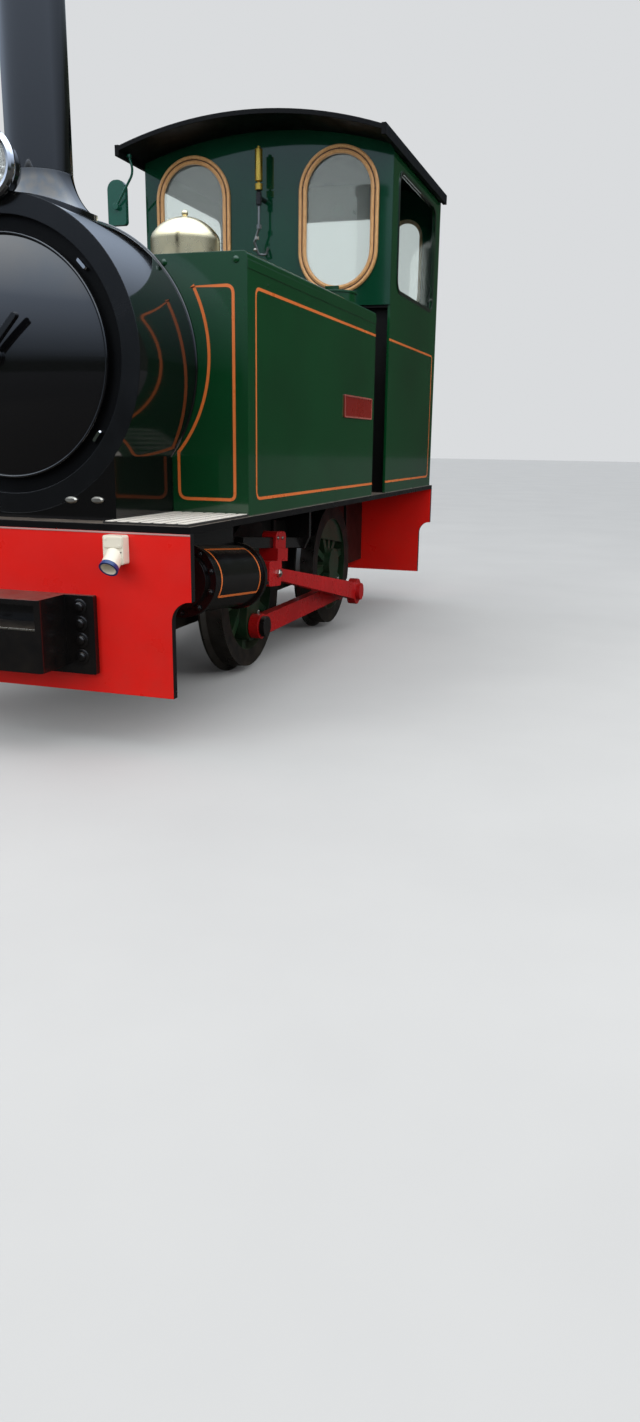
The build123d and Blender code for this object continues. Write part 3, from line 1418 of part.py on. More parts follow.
# Brake blocks on hangers between the wheels, tied across in pairs
block_x = wheel_inner + flange_width + (tyre_width - flange_width) / 2
brake_tie_z = frame_bottom - 22
with BuildPart() as brake_gear:
    for axle_y, toward in ((front_axle, 1), (rear_axle, 1)):
        for sign in (-1, 1):
            with BuildSketch(Plane.YZ.offset(sign * block_x)):
                with Locations((axle_y, axle_height)):
                    Circle(tread_radius + brake_gap + brake_block_depth)
                    Circle(tread_radius + brake_gap, mode=Mode.SUBTRACT)
                with Locations((axle_y + toward * (tread_radius + 20), axle_height - 20)):
                    Rectangle(150, brake_block_height, mode=Mode.INTERSECT)
            extrude(amount=brake_block_width / 2, both=True)
            hanger_y = axle_y + toward * (tread_radius + brake_gap + brake_block_depth + brake_hanger - 4)
            with BuildSketch(Plane.YZ.offset(sign * block_x)):
                with Locations((hanger_y, (brake_tie_z - 20 + plate_bottom) / 2)):
                    Rectangle(2 * brake_hanger, plate_bottom - brake_tie_z + 20)
            extrude(amount=brake_hanger / 2, both=True)
        with BuildSketch(Plane.YZ.offset(-block_x)):
            with Locations((hanger_y, brake_tie_z)):
                Rectangle(brake_tie_width, brake_tie_height)
        extrude(amount=2 * block_x)
brake_gear.part.label = "brake_gear"
export_step(brake_gear.part, "parts/brake_gear.step")

# Ashpan under the firebox, clear of the rear axle
with BuildPart() as ashpan:
    ashpan_front = firebox_front + 20
    ashpan_rear = rear_axle - axle_radius - 45
    with BuildSketch(Plane.YZ.offset(-firebox_half_width + 6)):
        with BuildLine():
            Polyline(
                (ashpan_front, firebox_bottom),
                (ashpan_front, ashpan_bottom + ashpan_toe),
                (ashpan_front + ashpan_toe, ashpan_bottom),
                (ashpan_rear - 40, ashpan_bottom),
                (ashpan_rear, axle_height + axle_radius + 10),
                (backhead_y - 20, axle_height + axle_radius + 30),
                (backhead_y - 20, firebox_bottom),
                close=True,
            )
        make_face()
    extrude(amount=2 * (firebox_half_width - 6))
ashpan.part.label = "ashpan"
export_step(ashpan.part, "parts/ashpan.step")

# Backhead fittings: regulator, pressure gauge, two water gauges and the reversing lever
fitting_depth = 34
regulator_z = boiler_axis + 210
regulator_radius = 46
regulator_reach = 220
gauge_z = boiler_axis + 320
gauge_radius = 56
water_gauge_z = boiler_axis + 120
water_gauge_x = 150
water_gauge_height = 190
lever_stand_length = 300
lever_stand_height = 120
lever_width = 22
lever_thickness = 16
lever_x = end_half_width - 110
lever_y = backhead_y + 160
lever_foot = plate_top + floor_thickness
lever_length = 600
with BuildPart() as backhead_fittings:
    with BuildSketch(end_plane(backhead_y)):
        with Locations((0, regulator_z)):
            Circle(regulator_radius)
        for gauge_x in (-water_gauge_x, water_gauge_x):
            with Locations((gauge_x, water_gauge_z)):
                Rectangle(34, water_gauge_height)
        with Locations((0, gauge_z)):
            Circle(gauge_radius)
    extrude(amount=-fitting_depth)
    with BuildSketch(end_plane(backhead_y + fitting_depth)):
        with Locations((60, regulator_z)):
            Rectangle(regulator_reach, 18)
    extrude(amount=-18)
    with BuildSketch(Plane.YZ.offset(lever_x)):
        with Locations((lever_y, lever_foot + lever_stand_height / 2)):
            Rectangle(lever_stand_length, lever_stand_height)
        with Locations((lever_y, lever_foot + lever_length / 2)):
            Rectangle(lever_width, lever_length)
        with Locations((lever_y, lever_foot + lever_length)):
            Circle(lever_width)
    extrude(amount=lever_thickness)
backhead_fittings.part.label = "backhead_fittings"
export_step(backhead_fittings.part, "parts/backhead_fittings.step")

# Firehole door: cast plate hinged beside the firehole
with BuildPart() as firehole_door:
    with BuildSketch(end_plane(backhead_y + firehole_gap)):
        with Locations((0, firehole_z)):
            RectangleRounded(firehole_door_width, firehole_door_height, 40)
    extrude(amount=-firehole_door_thickness)
    with BuildSketch(end_plane(backhead_y + firehole_gap + firehole_door_thickness)):
        with Locations((firehole_handle_x, firehole_z)):
            RectangleRounded(20, 70, 8)
    extrude(amount=-firehole_handle_depth)
    for lift in (-firehole_strap_lift, firehole_strap_lift):
        with BuildSketch(Plane.XY.offset(firehole_z + lift - firehole_strap_height / 2)):
            with Locations(((firehole_hinge_x - firehole_pin_half) / 2, firehole_hinge_y)):
                Rectangle(-firehole_hinge_x - firehole_pin_half, firehole_strap_depth)
            with Locations((firehole_hinge_x, firehole_hinge_y)):
                Circle(firehole_pin_radius + 6)
                Circle(firehole_pin_radius + pin_clearance, mode=Mode.SUBTRACT)
        extrude(amount=firehole_strap_height)
firehole_door.part.label = "firehole_door"
export_step(firehole_door.part, "parts/firehole_door.step")
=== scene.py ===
"""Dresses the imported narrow-gauge steam locomotive: paint, lining, bolts, glass, light and camera.

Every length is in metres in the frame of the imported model: the front faces -Y, +X is the
engine's left, nearest the camera, and Z is up from the floor that the wheel flanges stand on.
"""

import json
import logging
from dataclasses import dataclass
from enum import Enum
from math import cos, pi, radians, sin, sqrt
from typing import Callable, Optional, Sequence, Union

import bpy
import numpy as np
from mathutils import Matrix

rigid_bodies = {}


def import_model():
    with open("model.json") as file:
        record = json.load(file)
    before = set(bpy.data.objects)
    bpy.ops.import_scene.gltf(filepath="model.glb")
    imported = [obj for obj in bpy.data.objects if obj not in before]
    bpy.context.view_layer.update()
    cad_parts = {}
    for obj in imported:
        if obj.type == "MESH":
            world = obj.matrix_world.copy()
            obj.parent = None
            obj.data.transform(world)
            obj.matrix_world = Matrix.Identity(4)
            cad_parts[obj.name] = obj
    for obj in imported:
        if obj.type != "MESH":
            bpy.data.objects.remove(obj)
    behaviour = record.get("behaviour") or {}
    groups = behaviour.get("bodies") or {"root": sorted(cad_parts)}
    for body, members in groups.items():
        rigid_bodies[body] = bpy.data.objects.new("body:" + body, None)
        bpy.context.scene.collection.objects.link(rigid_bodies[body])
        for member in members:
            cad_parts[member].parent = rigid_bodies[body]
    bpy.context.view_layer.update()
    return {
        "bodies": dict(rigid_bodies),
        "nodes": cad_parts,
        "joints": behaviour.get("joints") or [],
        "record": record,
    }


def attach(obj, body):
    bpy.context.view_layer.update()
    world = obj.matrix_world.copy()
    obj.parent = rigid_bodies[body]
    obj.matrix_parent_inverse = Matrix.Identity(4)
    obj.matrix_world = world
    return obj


log = logging.getLogger("locomotive")

Array = np.ndarray
Pair = tuple[float, float]
Colour = tuple[float, float, float]
Vector = tuple[float, float, float]
Socket = bpy.types.NodeSocket
Value = Union[Socket, float, Colour]

LEFT, FRONT, REAR, UP = (1, 0, 0), (0, -1, 0), (0, 1, 0), (0, 0, 1)
AXLE_Y, AXLE_Z = 0.550, 0.322  # the rear axle; the front one lies at -AXLE_Y
LINE_WIDTH, LINE_CORNER = 0.010, 0.030  # of the orange lining on the side sheets
PAINT_HEIGHT = 0.0006  # how far painted lines stand proud
SINK = 0.0004  # how far a strip's underside lies below its surface
SHARPEST_MITRE = 0.5  # least cosine that a strip's mitre is drawn out by
MERGE_STEPS = 1e7  # steps per metre on which a mesh's points are merged
SMOOTH_ANGLE = radians(35.0)  # sharper edges stay sharp


# Shapes


@dataclass
class Shell:
    """Points and four-cornered faces of a surface; a triangle repeats one corner."""

    points: Array
    quads: Array

    def turned_outwards(self) -> "Shell":
        """Returns the closed shell with its faces outwards, told by the sign of its volume.

        The volume is the sum over each face's two triangles of a . (b x c) / 6.

        Returns:
            This shell, or the same one with every face's corners reversed.
        """
        corners = self.points[self.quads]
        halves = (corners[:, (0, 1, 2)], corners[:, (0, 2, 3)])
        volume = sum(np.einsum("ij,ij->", h[:, 0], np.cross(h[:, 1], h[:, 2])) for h in halves)
        return self if volume >= 0 else Shell(self.points, self.quads[:, ::-1])

    def placed(self, origins: Array, axes: Array, ups: Optional[Array] = None) -> "Shell":
        """Copies the shell to several places, its own Z along each axis.

        A point (x, y, z) goes to origin + x * side + y * up + z * axis, worked out for all
        copies and all points at once.

        Args:
            origins: Places of the copies, one row each.
            axes: Direction of each copy's Z, one row each or one for all.
            ups: Direction near each copy's Y, or None for any.

        Returns:
            All the copies as one shell.
        """
        origins = np.atleast_2d(np.asarray(origins, float))
        axes = unit(np.broadcast_to(np.asarray(axes, float), origins.shape))
        if ups is None:
            upright = np.abs(axes[:, 2:]) > 0.9
            ups = np.where(upright, np.array(REAR, float), np.array(UP, float))
        sides = unit(np.cross(np.broadcast_to(np.asarray(ups, float), origins.shape), axes))
        frames = np.stack((sides, np.cross(axes, sides), axes), axis=1)
        points = origins[:, None, :] + np.einsum("pi,kij->kpj", self.points, frames)
        quads = self.quads[None] + (np.arange(len(origins)) * len(self.points))[:, None, None]
        return Shell(points.reshape(-1, 3), quads.reshape(-1, 4))

    def mirrored(self) -> "Shell":
        """Returns the shell together with its mirror image across the centreline."""
        return joined(self, self.opposite())

    def opposite(self) -> "Shell":
        """Returns the shell's mirror image across the centreline."""
        return Shell(self.points * np.array((-1.0, 1.0, 1.0)), self.quads[:, ::-1])


def unit(vectors: Array) -> Array:
    """Scales each row to length one."""
    return vectors / np.maximum(np.linalg.norm(vectors, axis=-1, keepdims=True), 1e-12)


def joined(*shells: Shell) -> Shell:
    """Puts several shells into one, each face list shifted past the points before it.

    Args:
        shells: The shells.

    Returns:
        One shell of them all.
    """
    starts = np.cumsum([0] + [len(s.points) for s in shells[:-1]])
    quads = np.concatenate([s.quads + start for s, start in zip(shells, starts)])
    return Shell(np.concatenate([s.points for s in shells]), quads)


def grid(points: Array, wrap_u: bool = False, wrap_v: bool = False) -> Shell:
    """Joins a grid of points into faces, row to row and column to column.

    Args:
        points: Array of rows by columns by three.
        wrap_u: Whether the last row joins the first.
        wrap_v: Whether the last column joins the first.

    Returns:
        The surface as a shell.
    """
    rows, columns = points.shape[:2]
    index = np.arange(rows * columns).reshape(rows, columns)
    if wrap_u:
        index = np.concatenate((index, index[:1]), axis=0)
    if wrap_v:
        index = np.concatenate((index, index[:, :1]), axis=1)
    quads = np.stack((index[:-1, :-1], index[1:, :-1], index[1:, 1:], index[:-1, 1:]), axis=-1)
    return Shell(points.reshape(-1, 3), quads.reshape(-1, 4))


def turned(profile: Sequence[Pair], segments: int = 32, ring: bool = False) -> Shell:
    """Turns a profile of (radius, height) round Z.

    A profile point (r, h) at turn t becomes (r cos t, r sin t, h). A solid profile is closed
    to the axis at both ends, a ring profile is closed on itself.

    Args:
        profile: Radius and height of each profile point.
        segments: Steps round the turn.
        ring: Whether the profile is a closed loop away from the axis.

    Returns:
        The closed shell with its faces outwards.
    """
    line = np.array(profile, float)
    if not ring:
        ends = np.array(((0.0, line[0, 1]), (0.0, line[-1, 1])))
        line = np.concatenate((ends[:1], line, ends[1:]))
    turn = np.arange(segments) * 2 * pi / segments
    radius, height = line[:, 0][:, None], line[:, 1][:, None]
    points = np.stack((radius * np.cos(turn), radius * np.sin(turn), height + 0 * turn), axis=-1)
    return grid(points, wrap_u=ring, wrap_v=True).turned_outwards()


def slab(outline: Array, height: float, bevel: float = 0.0) -> Shell:
    """Raises a star-shaped outline into a plate with a chamfered top edge.

    The sides are the outline at z 0 and at z height less the chamfer, the top is the outline
    drawn in towards its middle by the chamfer, and both caps are fans about that middle.

    Args:
        outline: Corner points (x, y), in order.
        height: Thickness of the plate.
        bevel: Size of the chamfer.

    Returns:
        The closed shell with its faces outwards.
    """
    outline = np.asarray(outline, float)
    middle = outline.mean(axis=0)
    reach = np.linalg.norm(outline - middle, axis=1, keepdims=True)
    inner = middle + (outline - middle) * (1 - bevel / reach)
    flat = 0 * outline + middle
    levels = ((flat, 0.0), (outline, 0.0), (outline, height - bevel), (inner, height),
              (flat, height))
    rows = [np.column_stack((level, np.full(len(level), z))) for level, z in levels]
    return grid(np.stack(rows), wrap_v=True).turned_outwards()


def dense(path: Array, step: float, closed: bool) -> Array:
    """Adds points along a path so that none is further than a step from the next.

    The path's length is summed corner by corner, and points at every multiple of the step
    are put between the corners by linear interpolation on that length, but for those
    nearer than a twentieth of a step to a corner.

    Args:
        path: Corner points (u, v).
        step: Longest distance between two points.
        closed: Whether the path's end joins its start.

    Returns:
        The path with its added points, and without points that repeat.
    """
    path = np.asarray(path, float)
    if closed:
        path = np.concatenate((path, path[:1]))
    path = path[np.append(True, np.linalg.norm(np.diff(path, axis=0), axis=1) > 1e-6)]
    run = np.append(0.0, np.cumsum(np.linalg.norm(np.diff(path, axis=0), axis=1)))
    stops = np.arange(step / 2, run[-1], step)
    near = np.abs(stops[:, None] - run[None]).min(axis=1) < step * 0.05
    stops = np.sort(np.concatenate((run, stops[~near])))
    line = np.column_stack([np.interp(stops, run, path[:, k]) for k in range(path.shape[1])])
    return line[:-1] if closed else line


def strip(path: Array, width: float, height: float, surface: Callable[..., Array],
          closed: bool = True, step: float = 0.5) -> Shell:
    """Lays a flat band of paint or metal along a path on a surface.

    At each path point the two tangents' mean direction gives the normal in the surface, and
    the band's four edges are path +- normal * width / 2 * mitre, sunk a little and at +height.

    Args:
        path: Points (u, v) on the surface.
        width: Width of the band.
        height: How far it stands proud.
        surface: Maps (u, v, w) arrays to points, w along the surface's normal.
        closed: Whether the path's end joins its start.
        step: Longest step along the path, short on a curved surface.

    Returns:
        The closed shell with its faces outwards.
    """
    path = dense(path, step, closed)
    after, before = np.roll(path, -1, axis=0) - path, path - np.roll(path, 1, axis=0)
    if not closed:
        after[-1], before[0] = before[-1], after[0]
    after, before = unit(after), unit(before)
    across = unit(np.stack((-(after + before)[:, 1], (after + before)[:, 0]), axis=-1))
    normal = np.stack((-after[:, 1], after[:, 0]), axis=-1)
    mitre = 1 / np.maximum((across * normal).sum(axis=1, keepdims=True), SHARPEST_MITRE)
    left, right = path + across * mitre * width / 2, path - across * mitre * width / 2
    rails = [surface(p[:, 0], p[:, 1], np.full(len(p), w))
             for p, w in ((left, -SINK), (right, -SINK), (right, height), (left, height))]
    body = grid(np.stack(rails, axis=1), wrap_u=closed, wrap_v=True)
    if not closed:
        last = 4 * (len(path) - 1)
        ends = ((0, 1, 2, 3), (last + 3, last + 2, last + 1, last))
        body = Shell(body.points, np.concatenate((body.quads, ends)))
    return body.turned_outwards()


def tube(path: Array, radius: float, flat: Vector, sides: int = 12, closed: bool = False) -> Shell:
    """Carries a circle along a path, its first spoke kept square to one direction.

    Each ring is path + radius * (cos t * n + sin t * b), with n the part of the flat
    direction square to the tangent and b their cross product; the end rings close to a point.

    Args:
        path: Points of the centreline.
        radius: Radius of the tube.
        flat: A direction that the path never follows.
        sides: Corners of the ring.
        closed: Whether the path's end joins its start.

    Returns:
        The closed shell with its faces outwards.
    """
    path = np.asarray(path, float)
    around = np.roll(path, -1, axis=0) - np.roll(path, 1, axis=0)
    tangent = unit(around if closed else np.gradient(path, axis=0))
    spoke = np.broadcast_to(np.asarray(flat, float), path.shape)
    spoke = unit(spoke - (spoke * tangent).sum(axis=1, keepdims=True) * tangent)
    other = np.cross(tangent, spoke)
    turn = (np.arange(sides) * 2 * pi / sides)[:, None]
    rings = path[:, None] + radius * (np.cos(turn) * spoke[:, None] + np.sin(turn) * other[:, None])
    if not closed:
        caps = np.broadcast_to(path[(0, -1), None, :], (2, sides, 3))
        rings = np.concatenate((caps[:1], rings, caps[1:]))
    return grid(rings, wrap_u=closed, wrap_v=True).turned_outwards()


def rounded(corners: Sequence[Pair], radius: Union[float, Sequence[float]],
            steps: int = 6) -> Array:
    """Rounds the corners of a closed outline.

    Each corner becomes the quadratic curve from radius / tan(half angle) before it to as far
    after it, with the corner as its middle control point.

    Args:
        corners: Corner points (u, v), in order.
        radius: Radius of every corner, or one for each.
        steps: Steps of each curve.

    Returns:
        The outline's points.
    """
    p = np.asarray(corners, float)
    radii = np.broadcast_to(np.asarray(radius, float), (len(p),))[:, None]
    to_last, to_next = unit(np.roll(p, 1, axis=0) - p), unit(np.roll(p, -1, axis=0) - p)
    half = np.arccos(np.clip((to_last * to_next).sum(axis=1, keepdims=True), -1, 1)) / 2
    reach = radii / np.tan(half)
    start, end = p + to_last * reach, p + to_next * reach
    t = np.linspace(0, 1, steps + 1)[None, :, None]
    blend = (1 - t) ** 2 * start[:, None] + 2 * t * (1 - t) * p[:, None] + t ** 2 * end[:, None]
    return blend.reshape(-1, 2)


def box_outline(u: Pair, v: Pair) -> Array:
    """Returns the four corners of the rectangle from u[0], v[0] to u[1], v[1]."""
    return np.array(((u[0], v[0]), (u[1], v[0]), (u[1], v[1]), (u[0], v[1])))


def rows(*columns: Union[float, Sequence[float], Array]) -> Array:
    """Puts columns side by side, a single number filling its whole column."""
    return np.column_stack(np.broadcast_arrays(*columns))


def arc(centre: Pair, radius: float, start: float, end: float, steps: int = 24) -> Array:
    """Returns points centre + radius (cos t, sin t) for t from start to end in degrees."""
    turn = np.radians(np.linspace(start, end, steps + 1))
    return rows(centre[0] + radius * np.cos(turn), centre[1] + radius * np.sin(turn))


@dataclass(frozen=True)
class FlatSide:
    """A flat face: (u, v, w) goes to origin + u * along + v * up + w * outward."""

    origin: Vector
    along: Vector
    up: Vector
    outward: Vector

    def __call__(self, u: Array, v: Array, w: Array) -> Array:
        """Places points that lie u along, v up and w off the face, one row each."""
        axes = [np.asarray(a, float) for a in (self.along, self.up, self.outward)]
        return self.origin + sum(c[:, None] * a for c, a in zip((u, v, w), axes))


def left_face(x: float) -> FlatSide:
    """Returns the face at x that looks along +X, u being y and v being z."""
    return FlatSide((x, 0.0, 0.0), REAR, UP, LEFT)


def end_face(y: float, out: float) -> FlatSide:
    """Returns the face at y that looks along out * Y, u being x and v being z."""
    return FlatSide((0.0, y, 0.0), LEFT, UP, (0, out, 0))


@dataclass(frozen=True)
class RoundSide:
    """A drum's surface: u is the arc from its top towards +X, v the distance along its axis."""

    centre: Vector
    axis: Vector
    radius: float

    def __call__(self, u: Array, v: Array, w: Array) -> Array:
        """Places points at centre + v * axis + (radius + w) * spoke of angle u / radius.

        Args:
            u: Arcs from the drum's top.
            v: Distances along the axis.
            w: Heights over the drum.

        Returns:
            The points, one row each.
        """
        axis = unit(np.asarray(self.axis, float)[None])[0]
        side = np.array(LEFT, float)
        top = np.cross(side, axis)
        top = top if top[2] > 0 else -top
        turn = (u / self.radius)[:, None]
        spoke = np.cos(turn) * top + np.sin(turn) * side
        return self.centre + v[:, None] * axis + (self.radius + w)[:, None] * spoke


class Head(Enum):
    """Kinds of bolt head and rivet, as profiles of (radius, height) in units of the radius."""

    DOME = ((1.0, -0.15), (1.0, 0.08), (0.92, 0.32), (0.72, 0.52), (0.42, 0.66), (0.14, 0.7))
    FLAT = ((1.0, -0.15), (1.0, 0.14), (0.9, 0.2), (0.3, 0.2))
    WASHER = ((1.5, -0.1), (1.5, 0.12), (1.4, 0.18), (0.9, 0.18), (0.88, 0.5), (0.66, 0.72),
              (0.2, 0.8))
    CORK = ((0.8, -0.3), (0.8, 0.2), (1.0, 0.3), (1.0, 1.6), (0.85, 1.8), (0.3, 1.85))


def fastener(head: Head, radius: float, segments: int = 14) -> Shell:
    """Turns one bolt head's profile to size."""
    return turned([(r * radius, h * radius) for r, h in head.value], segments)


def hex_nut(radius: float, height: float, stud: float = 0.0) -> Shell:
    """Makes a hexagonal nut with a chamfer, and the stud's end through it.

    The outline is six corners at the radius, raised by the slab's rule.

    Args:
        radius: Distance from the middle to a corner.
        height: Height of the nut.
        stud: How far the stud's end shows, or zero for none.

    Returns:
        The closed shell or shells.
    """
    outline = arc((0.0, 0.0), radius, start=0, end=300, steps=5)
    nut = slab(outline, height, bevel=radius * 0.12)
    if stud <= 0:
        return nut
    bolt, tip = radius * 0.5, radius * 0.4
    profile = ((bolt, height - 0.001), (bolt, height + stud * 0.8), (tip, height + stud))
    return joined(nut, turned(profile, segments=12))


# Finishes


def linear(colour: Colour) -> Colour:
    """Turns a screen colour of 0 to 255 a channel into linear light."""
    values = [c / 255 for c in colour]
    return tuple(c / 12.92 if c <= 0.04045 else ((c + 0.055) / 1.055) ** 2.4 for c in values)


class Graph:
    """Builds one material's or world's node tree with short calls."""

    def __init__(self, owner: Union[bpy.types.Material, bpy.types.World], output: str) -> None:
        """Clears the owner's nodes and adds its output.

        Args:
            owner: The material or world.
            output: The output node's type name.
        """
        owner.use_nodes = True
        self.tree = owner.node_tree
        self.tree.nodes.clear()
        self.surface = self.add(output).inputs["Surface"]

    def add(self, kind: str, **settings: object) -> bpy.types.Node:
        """Adds a node and sets its properties.

        Args:
            kind: The node's type name.
            settings: Its properties by name.

        Returns:
            The node.
        """
        node = self.tree.nodes.new(kind)
        for key, value in settings.items():
            setattr(node, key, value)
        return node

    def feed(self, target: Socket, value: Value) -> None:
        """Links a socket to the target, or sets a number or colour on it.

        Args:
            target: The input to feed.
            value: What it gets.
        """
        if isinstance(value, bpy.types.NodeSocket):
            self.tree.links.new(value, target)
        elif target.type == "RGBA":
            target.default_value = (*value, 1.0)
        else:
            target.default_value = value

    def run(self, kind: str, inputs: dict[Union[int, str], Value], out: Union[int, str] = 0,
            **settings: object) -> Socket:
        """Adds a node, feeds its inputs and returns one of its outputs.

        Args:
            kind: The node's type name.
            inputs: Values and sockets for its inputs, by place or name.
            out: The output's place or name.
            settings: The node's properties by name.

        Returns:
            The output.
        """
        node = self.add(kind, **settings)
        for key, value in inputs.items():
            self.feed(node.inputs[key], value)
        return node.outputs[out]

    def place(self, axis: str) -> Socket:
        """Returns one component of the object coordinates."""
        return self.part(self.add("ShaderNodeTexCoord").outputs["Object"], axis)

    def facing(self, axis: str) -> Socket:
        """Returns one component of the surface's normal."""
        return self.part(self.add("ShaderNodeNewGeometry").outputs["Normal"], axis)

    def part(self, vector: Socket, axis: str) -> Socket:
        """Returns one component of a vector."""
        return self.run("ShaderNodeSeparateXYZ", {0: vector}, axis)

    def noise(self, scale: float, detail: float = 4.0, stretch: Vector = (1.0, 1.0, 1.0),
              roughness: float = 0.55) -> Socket:
        """Adds a noise pattern on object coordinates.

        Args:
            scale: Cells per metre.
            detail: Octaves.
            stretch: Scale along each axis.
            roughness: Strength of the finer octaves.

        Returns:
            The noise value.
        """
        coords = self.add("ShaderNodeTexCoord").outputs["Object"]
        mapped = self.run("ShaderNodeMapping", {"Vector": coords, "Scale": stretch})
        return self.run("ShaderNodeTexNoise", {"Vector": mapped, "Scale": scale, "Detail": detail,
                                               "Roughness": roughness})

    def spread(self, source: Socket, low: float, high: float, start: float = 0.0,
               end: float = 1.0) -> Socket:
        """Maps a value from low..high to start..end and clamps it.

        Args:
            source: The value.
            low: Value that gives start.
            high: Value that gives end.
            start: Result at low.
            end: Result at high.

        Returns:
            The mapped value.
        """
        return self.run("ShaderNodeMapRange", {0: source, 1: low, 2: high, 3: start, 4: end})

    def mix(self, factor: Value, base: Value, over: Value) -> Socket:
        """Mixes a colour over a colour by a factor."""
        return self.run("ShaderNodeMix", {0: factor, 6: base, 7: over}, 2, data_type="RGBA")

    def calc(self, operation: str, first: Value, second: Value = 0.0) -> Socket:
        """Works out one arithmetic step on two values."""
        return self.run("ShaderNodeMath", {0: first, 1: second}, operation=operation)

    def principled(self, colour: Value, roughness: Value, normal: Optional[Socket] = None,
                   **values: Value) -> Socket:
        """Adds the principled shader.

        Args:
            colour: Base colour.
            roughness: Roughness.
            normal: Relief, or None for the plain surface.
            values: Other inputs, an underscore in a name standing for a space.

        Returns:
            The shader.
        """
        inputs = {"Base Color": colour, "Roughness": roughness}
        inputs.update({key.replace("_", " "): value for key, value in values.items()})
        if normal is not None:
            inputs["Normal"] = normal
        return self.run("ShaderNodeBsdfPrincipled", inputs)

    def relief(self, source: Socket, strength: float, distance: float, edge: float = 0.0) -> Socket:
        """Makes a normal from a height, over edges softened by a radius.

        Args:
            source: The height.
            strength: Strength of the relief.
            distance: Height of the relief in metres.
            edge: Radius of the softened edges in metres, or zero.

        Returns:
            The normal.
        """
        inputs = {"Height": source, "Strength": strength, "Distance": distance}
        if edge > 0:
            inputs["Normal"] = self.run("ShaderNodeBevel", {"Radius": edge}, samples=4)
        return self.run("ShaderNodeBump", inputs)


# The first colour is pale dust on faces that look up, which also stands as a painted highlight on
# their tops; the second is dirt low down.
DUST_AND_SHEEN, GRIME = linear((128, 116, 104)), linear((84, 72, 58))


@dataclass(frozen=True)
class Finish:
    """What every finish shares: a name, and a material made from its shader."""

    name: str

    def shader(self, g: Graph) -> Socket:
        """Builds the finish's shader in a node tree."""
        raise NotImplementedError

    def material(self) -> bpy.types.Material:
        """Builds the finish's material.

        Returns:
            The new material.
        """
        material = bpy.data.materials.new(self.name)
        g = Graph(material, "ShaderNodeOutputMaterial")
        g.feed(g.surface, self.shader(g))
        return material


@dataclass(frozen=True)
class Paint(Finish):
    """Paint with uneven gloss, dirt low down, pale dust on faces that look up that also stands
    as a painted highlight on their tops, and soft edges.

    Scales are in cells per metre, heights and the edge's radius in metres.
    """

    colour: Colour
    deep: Colour
    roughness: float = 0.25
    coat: float = 0.0
    peel: float = 0.05
    grime: float = 0.0
    dust_and_sheen: float = 0.0
    wave: float = 0.0
    edge: float = 0.002
    specular: float = 0.5
    patch_scale: float = 2.2
    gloss_scale: float = 9.0
    grime_scale: float = 14.0
    grime_heights: Pair = (0.05, 0.7)
    dust_and_sheen_scale: float = 24.0
    dust_and_sheen_slopes: Pair = (0.75, 0.97)
    peel_scale: float = 420.0
    peel_height: float = 0.0002
    wave_scale: float = 3.0
    wave_height: float = 0.004

    def shader(self, g: Graph) -> Socket:
        """Builds colour patches, dirt by height, dust and a painted top highlight by slope, gloss
        patches and relief.

        Args:
            g: The node tree to build in.

        Returns:
            The shader.
        """
        patches = g.spread(g.noise(self.patch_scale, 5.0), 0.35, 0.7)
        base = g.mix(patches, linear(self.colour), linear(self.deep))
        dull, bright = self.roughness * 1.25, self.roughness * 0.8
        gloss = g.spread(g.noise(self.gloss_scale, 6.0), 0.3, 0.7, bright, dull)
        if self.grime > 0:
            noise = g.noise(self.grime_scale, 8.0, roughness=0.7)
            specks = g.spread(noise, 0.35, 0.72, 0.0, self.grime)
            low_down = g.spread(g.place("Z"), *self.grime_heights, 1.0, 0.0)
            base = g.mix(g.calc("MULTIPLY", specks, low_down), base, GRIME)
        # Pale dust on faces that look up, which also paints a highlight on their tops.
        if self.dust_and_sheen > 0:
            noise = g.noise(self.dust_and_sheen_scale, 6.0)
            specks = g.spread(noise, 0.3, 0.6, self.dust_and_sheen * 0.45, self.dust_and_sheen)
            cover = g.calc("MULTIPLY", specks, g.spread(g.facing("Z"), *self.dust_and_sheen_slopes))
            base = g.mix(cover, base, DUST_AND_SHEEN)
            gloss = g.calc("ADD", gloss, g.calc("MULTIPLY", cover, 0.35))
        normal = g.relief(g.noise(self.peel_scale, 2.0), self.peel, self.peel_height, self.edge)
        if self.wave > 0:
            waves = {"Height": g.noise(self.wave_scale, 1.0), "Strength": self.wave,
                     "Distance": self.wave_height, "Normal": normal}
            normal = g.run("ShaderNodeBump", waves)
        return g.principled(base, gloss, normal, Coat_Weight=self.coat, Coat_Roughness=0.04,
                            Specular_IOR_Level=self.specular)


@dataclass(frozen=True)
class Metal(Finish):
    """Bare metal, polished or dull, with tarnish patches and fine scratches."""

    colour: Colour
    tarnish: Colour
    roughness: float = 0.2
    spots: float = 0.35
    scratches: Vector = (1.0, 1.0, 1.0)
    edge: float = 0.0
    patch_scale: float = 7.0
    gloss_scale: float = 16.0
    scratch_scale: float = 260.0
    scratch_height: float = 0.0002

    def shader(self, g: Graph) -> Socket:
        """Builds tarnish patches, uneven gloss and drawn-out scratches.

        Args:
            g: The node tree to build in.

        Returns:
            The shader.
        """
        patches = g.spread(g.noise(self.patch_scale, 6.0), 0.45, 0.75, 0.0, self.spots)
        dull, bright = self.roughness * 1.5, self.roughness * 0.7
        gloss = g.spread(g.noise(self.gloss_scale, 5.0), 0.3, 0.7, bright, dull)
        scratches = g.noise(self.scratch_scale, 3.0, self.scratches)
        normal = g.relief(scratches, 0.1, self.scratch_height, self.edge)
        colour = g.mix(patches, linear(self.colour), linear(self.tarnish))
        return g.principled(colour, gloss, normal, Metallic=1.0)


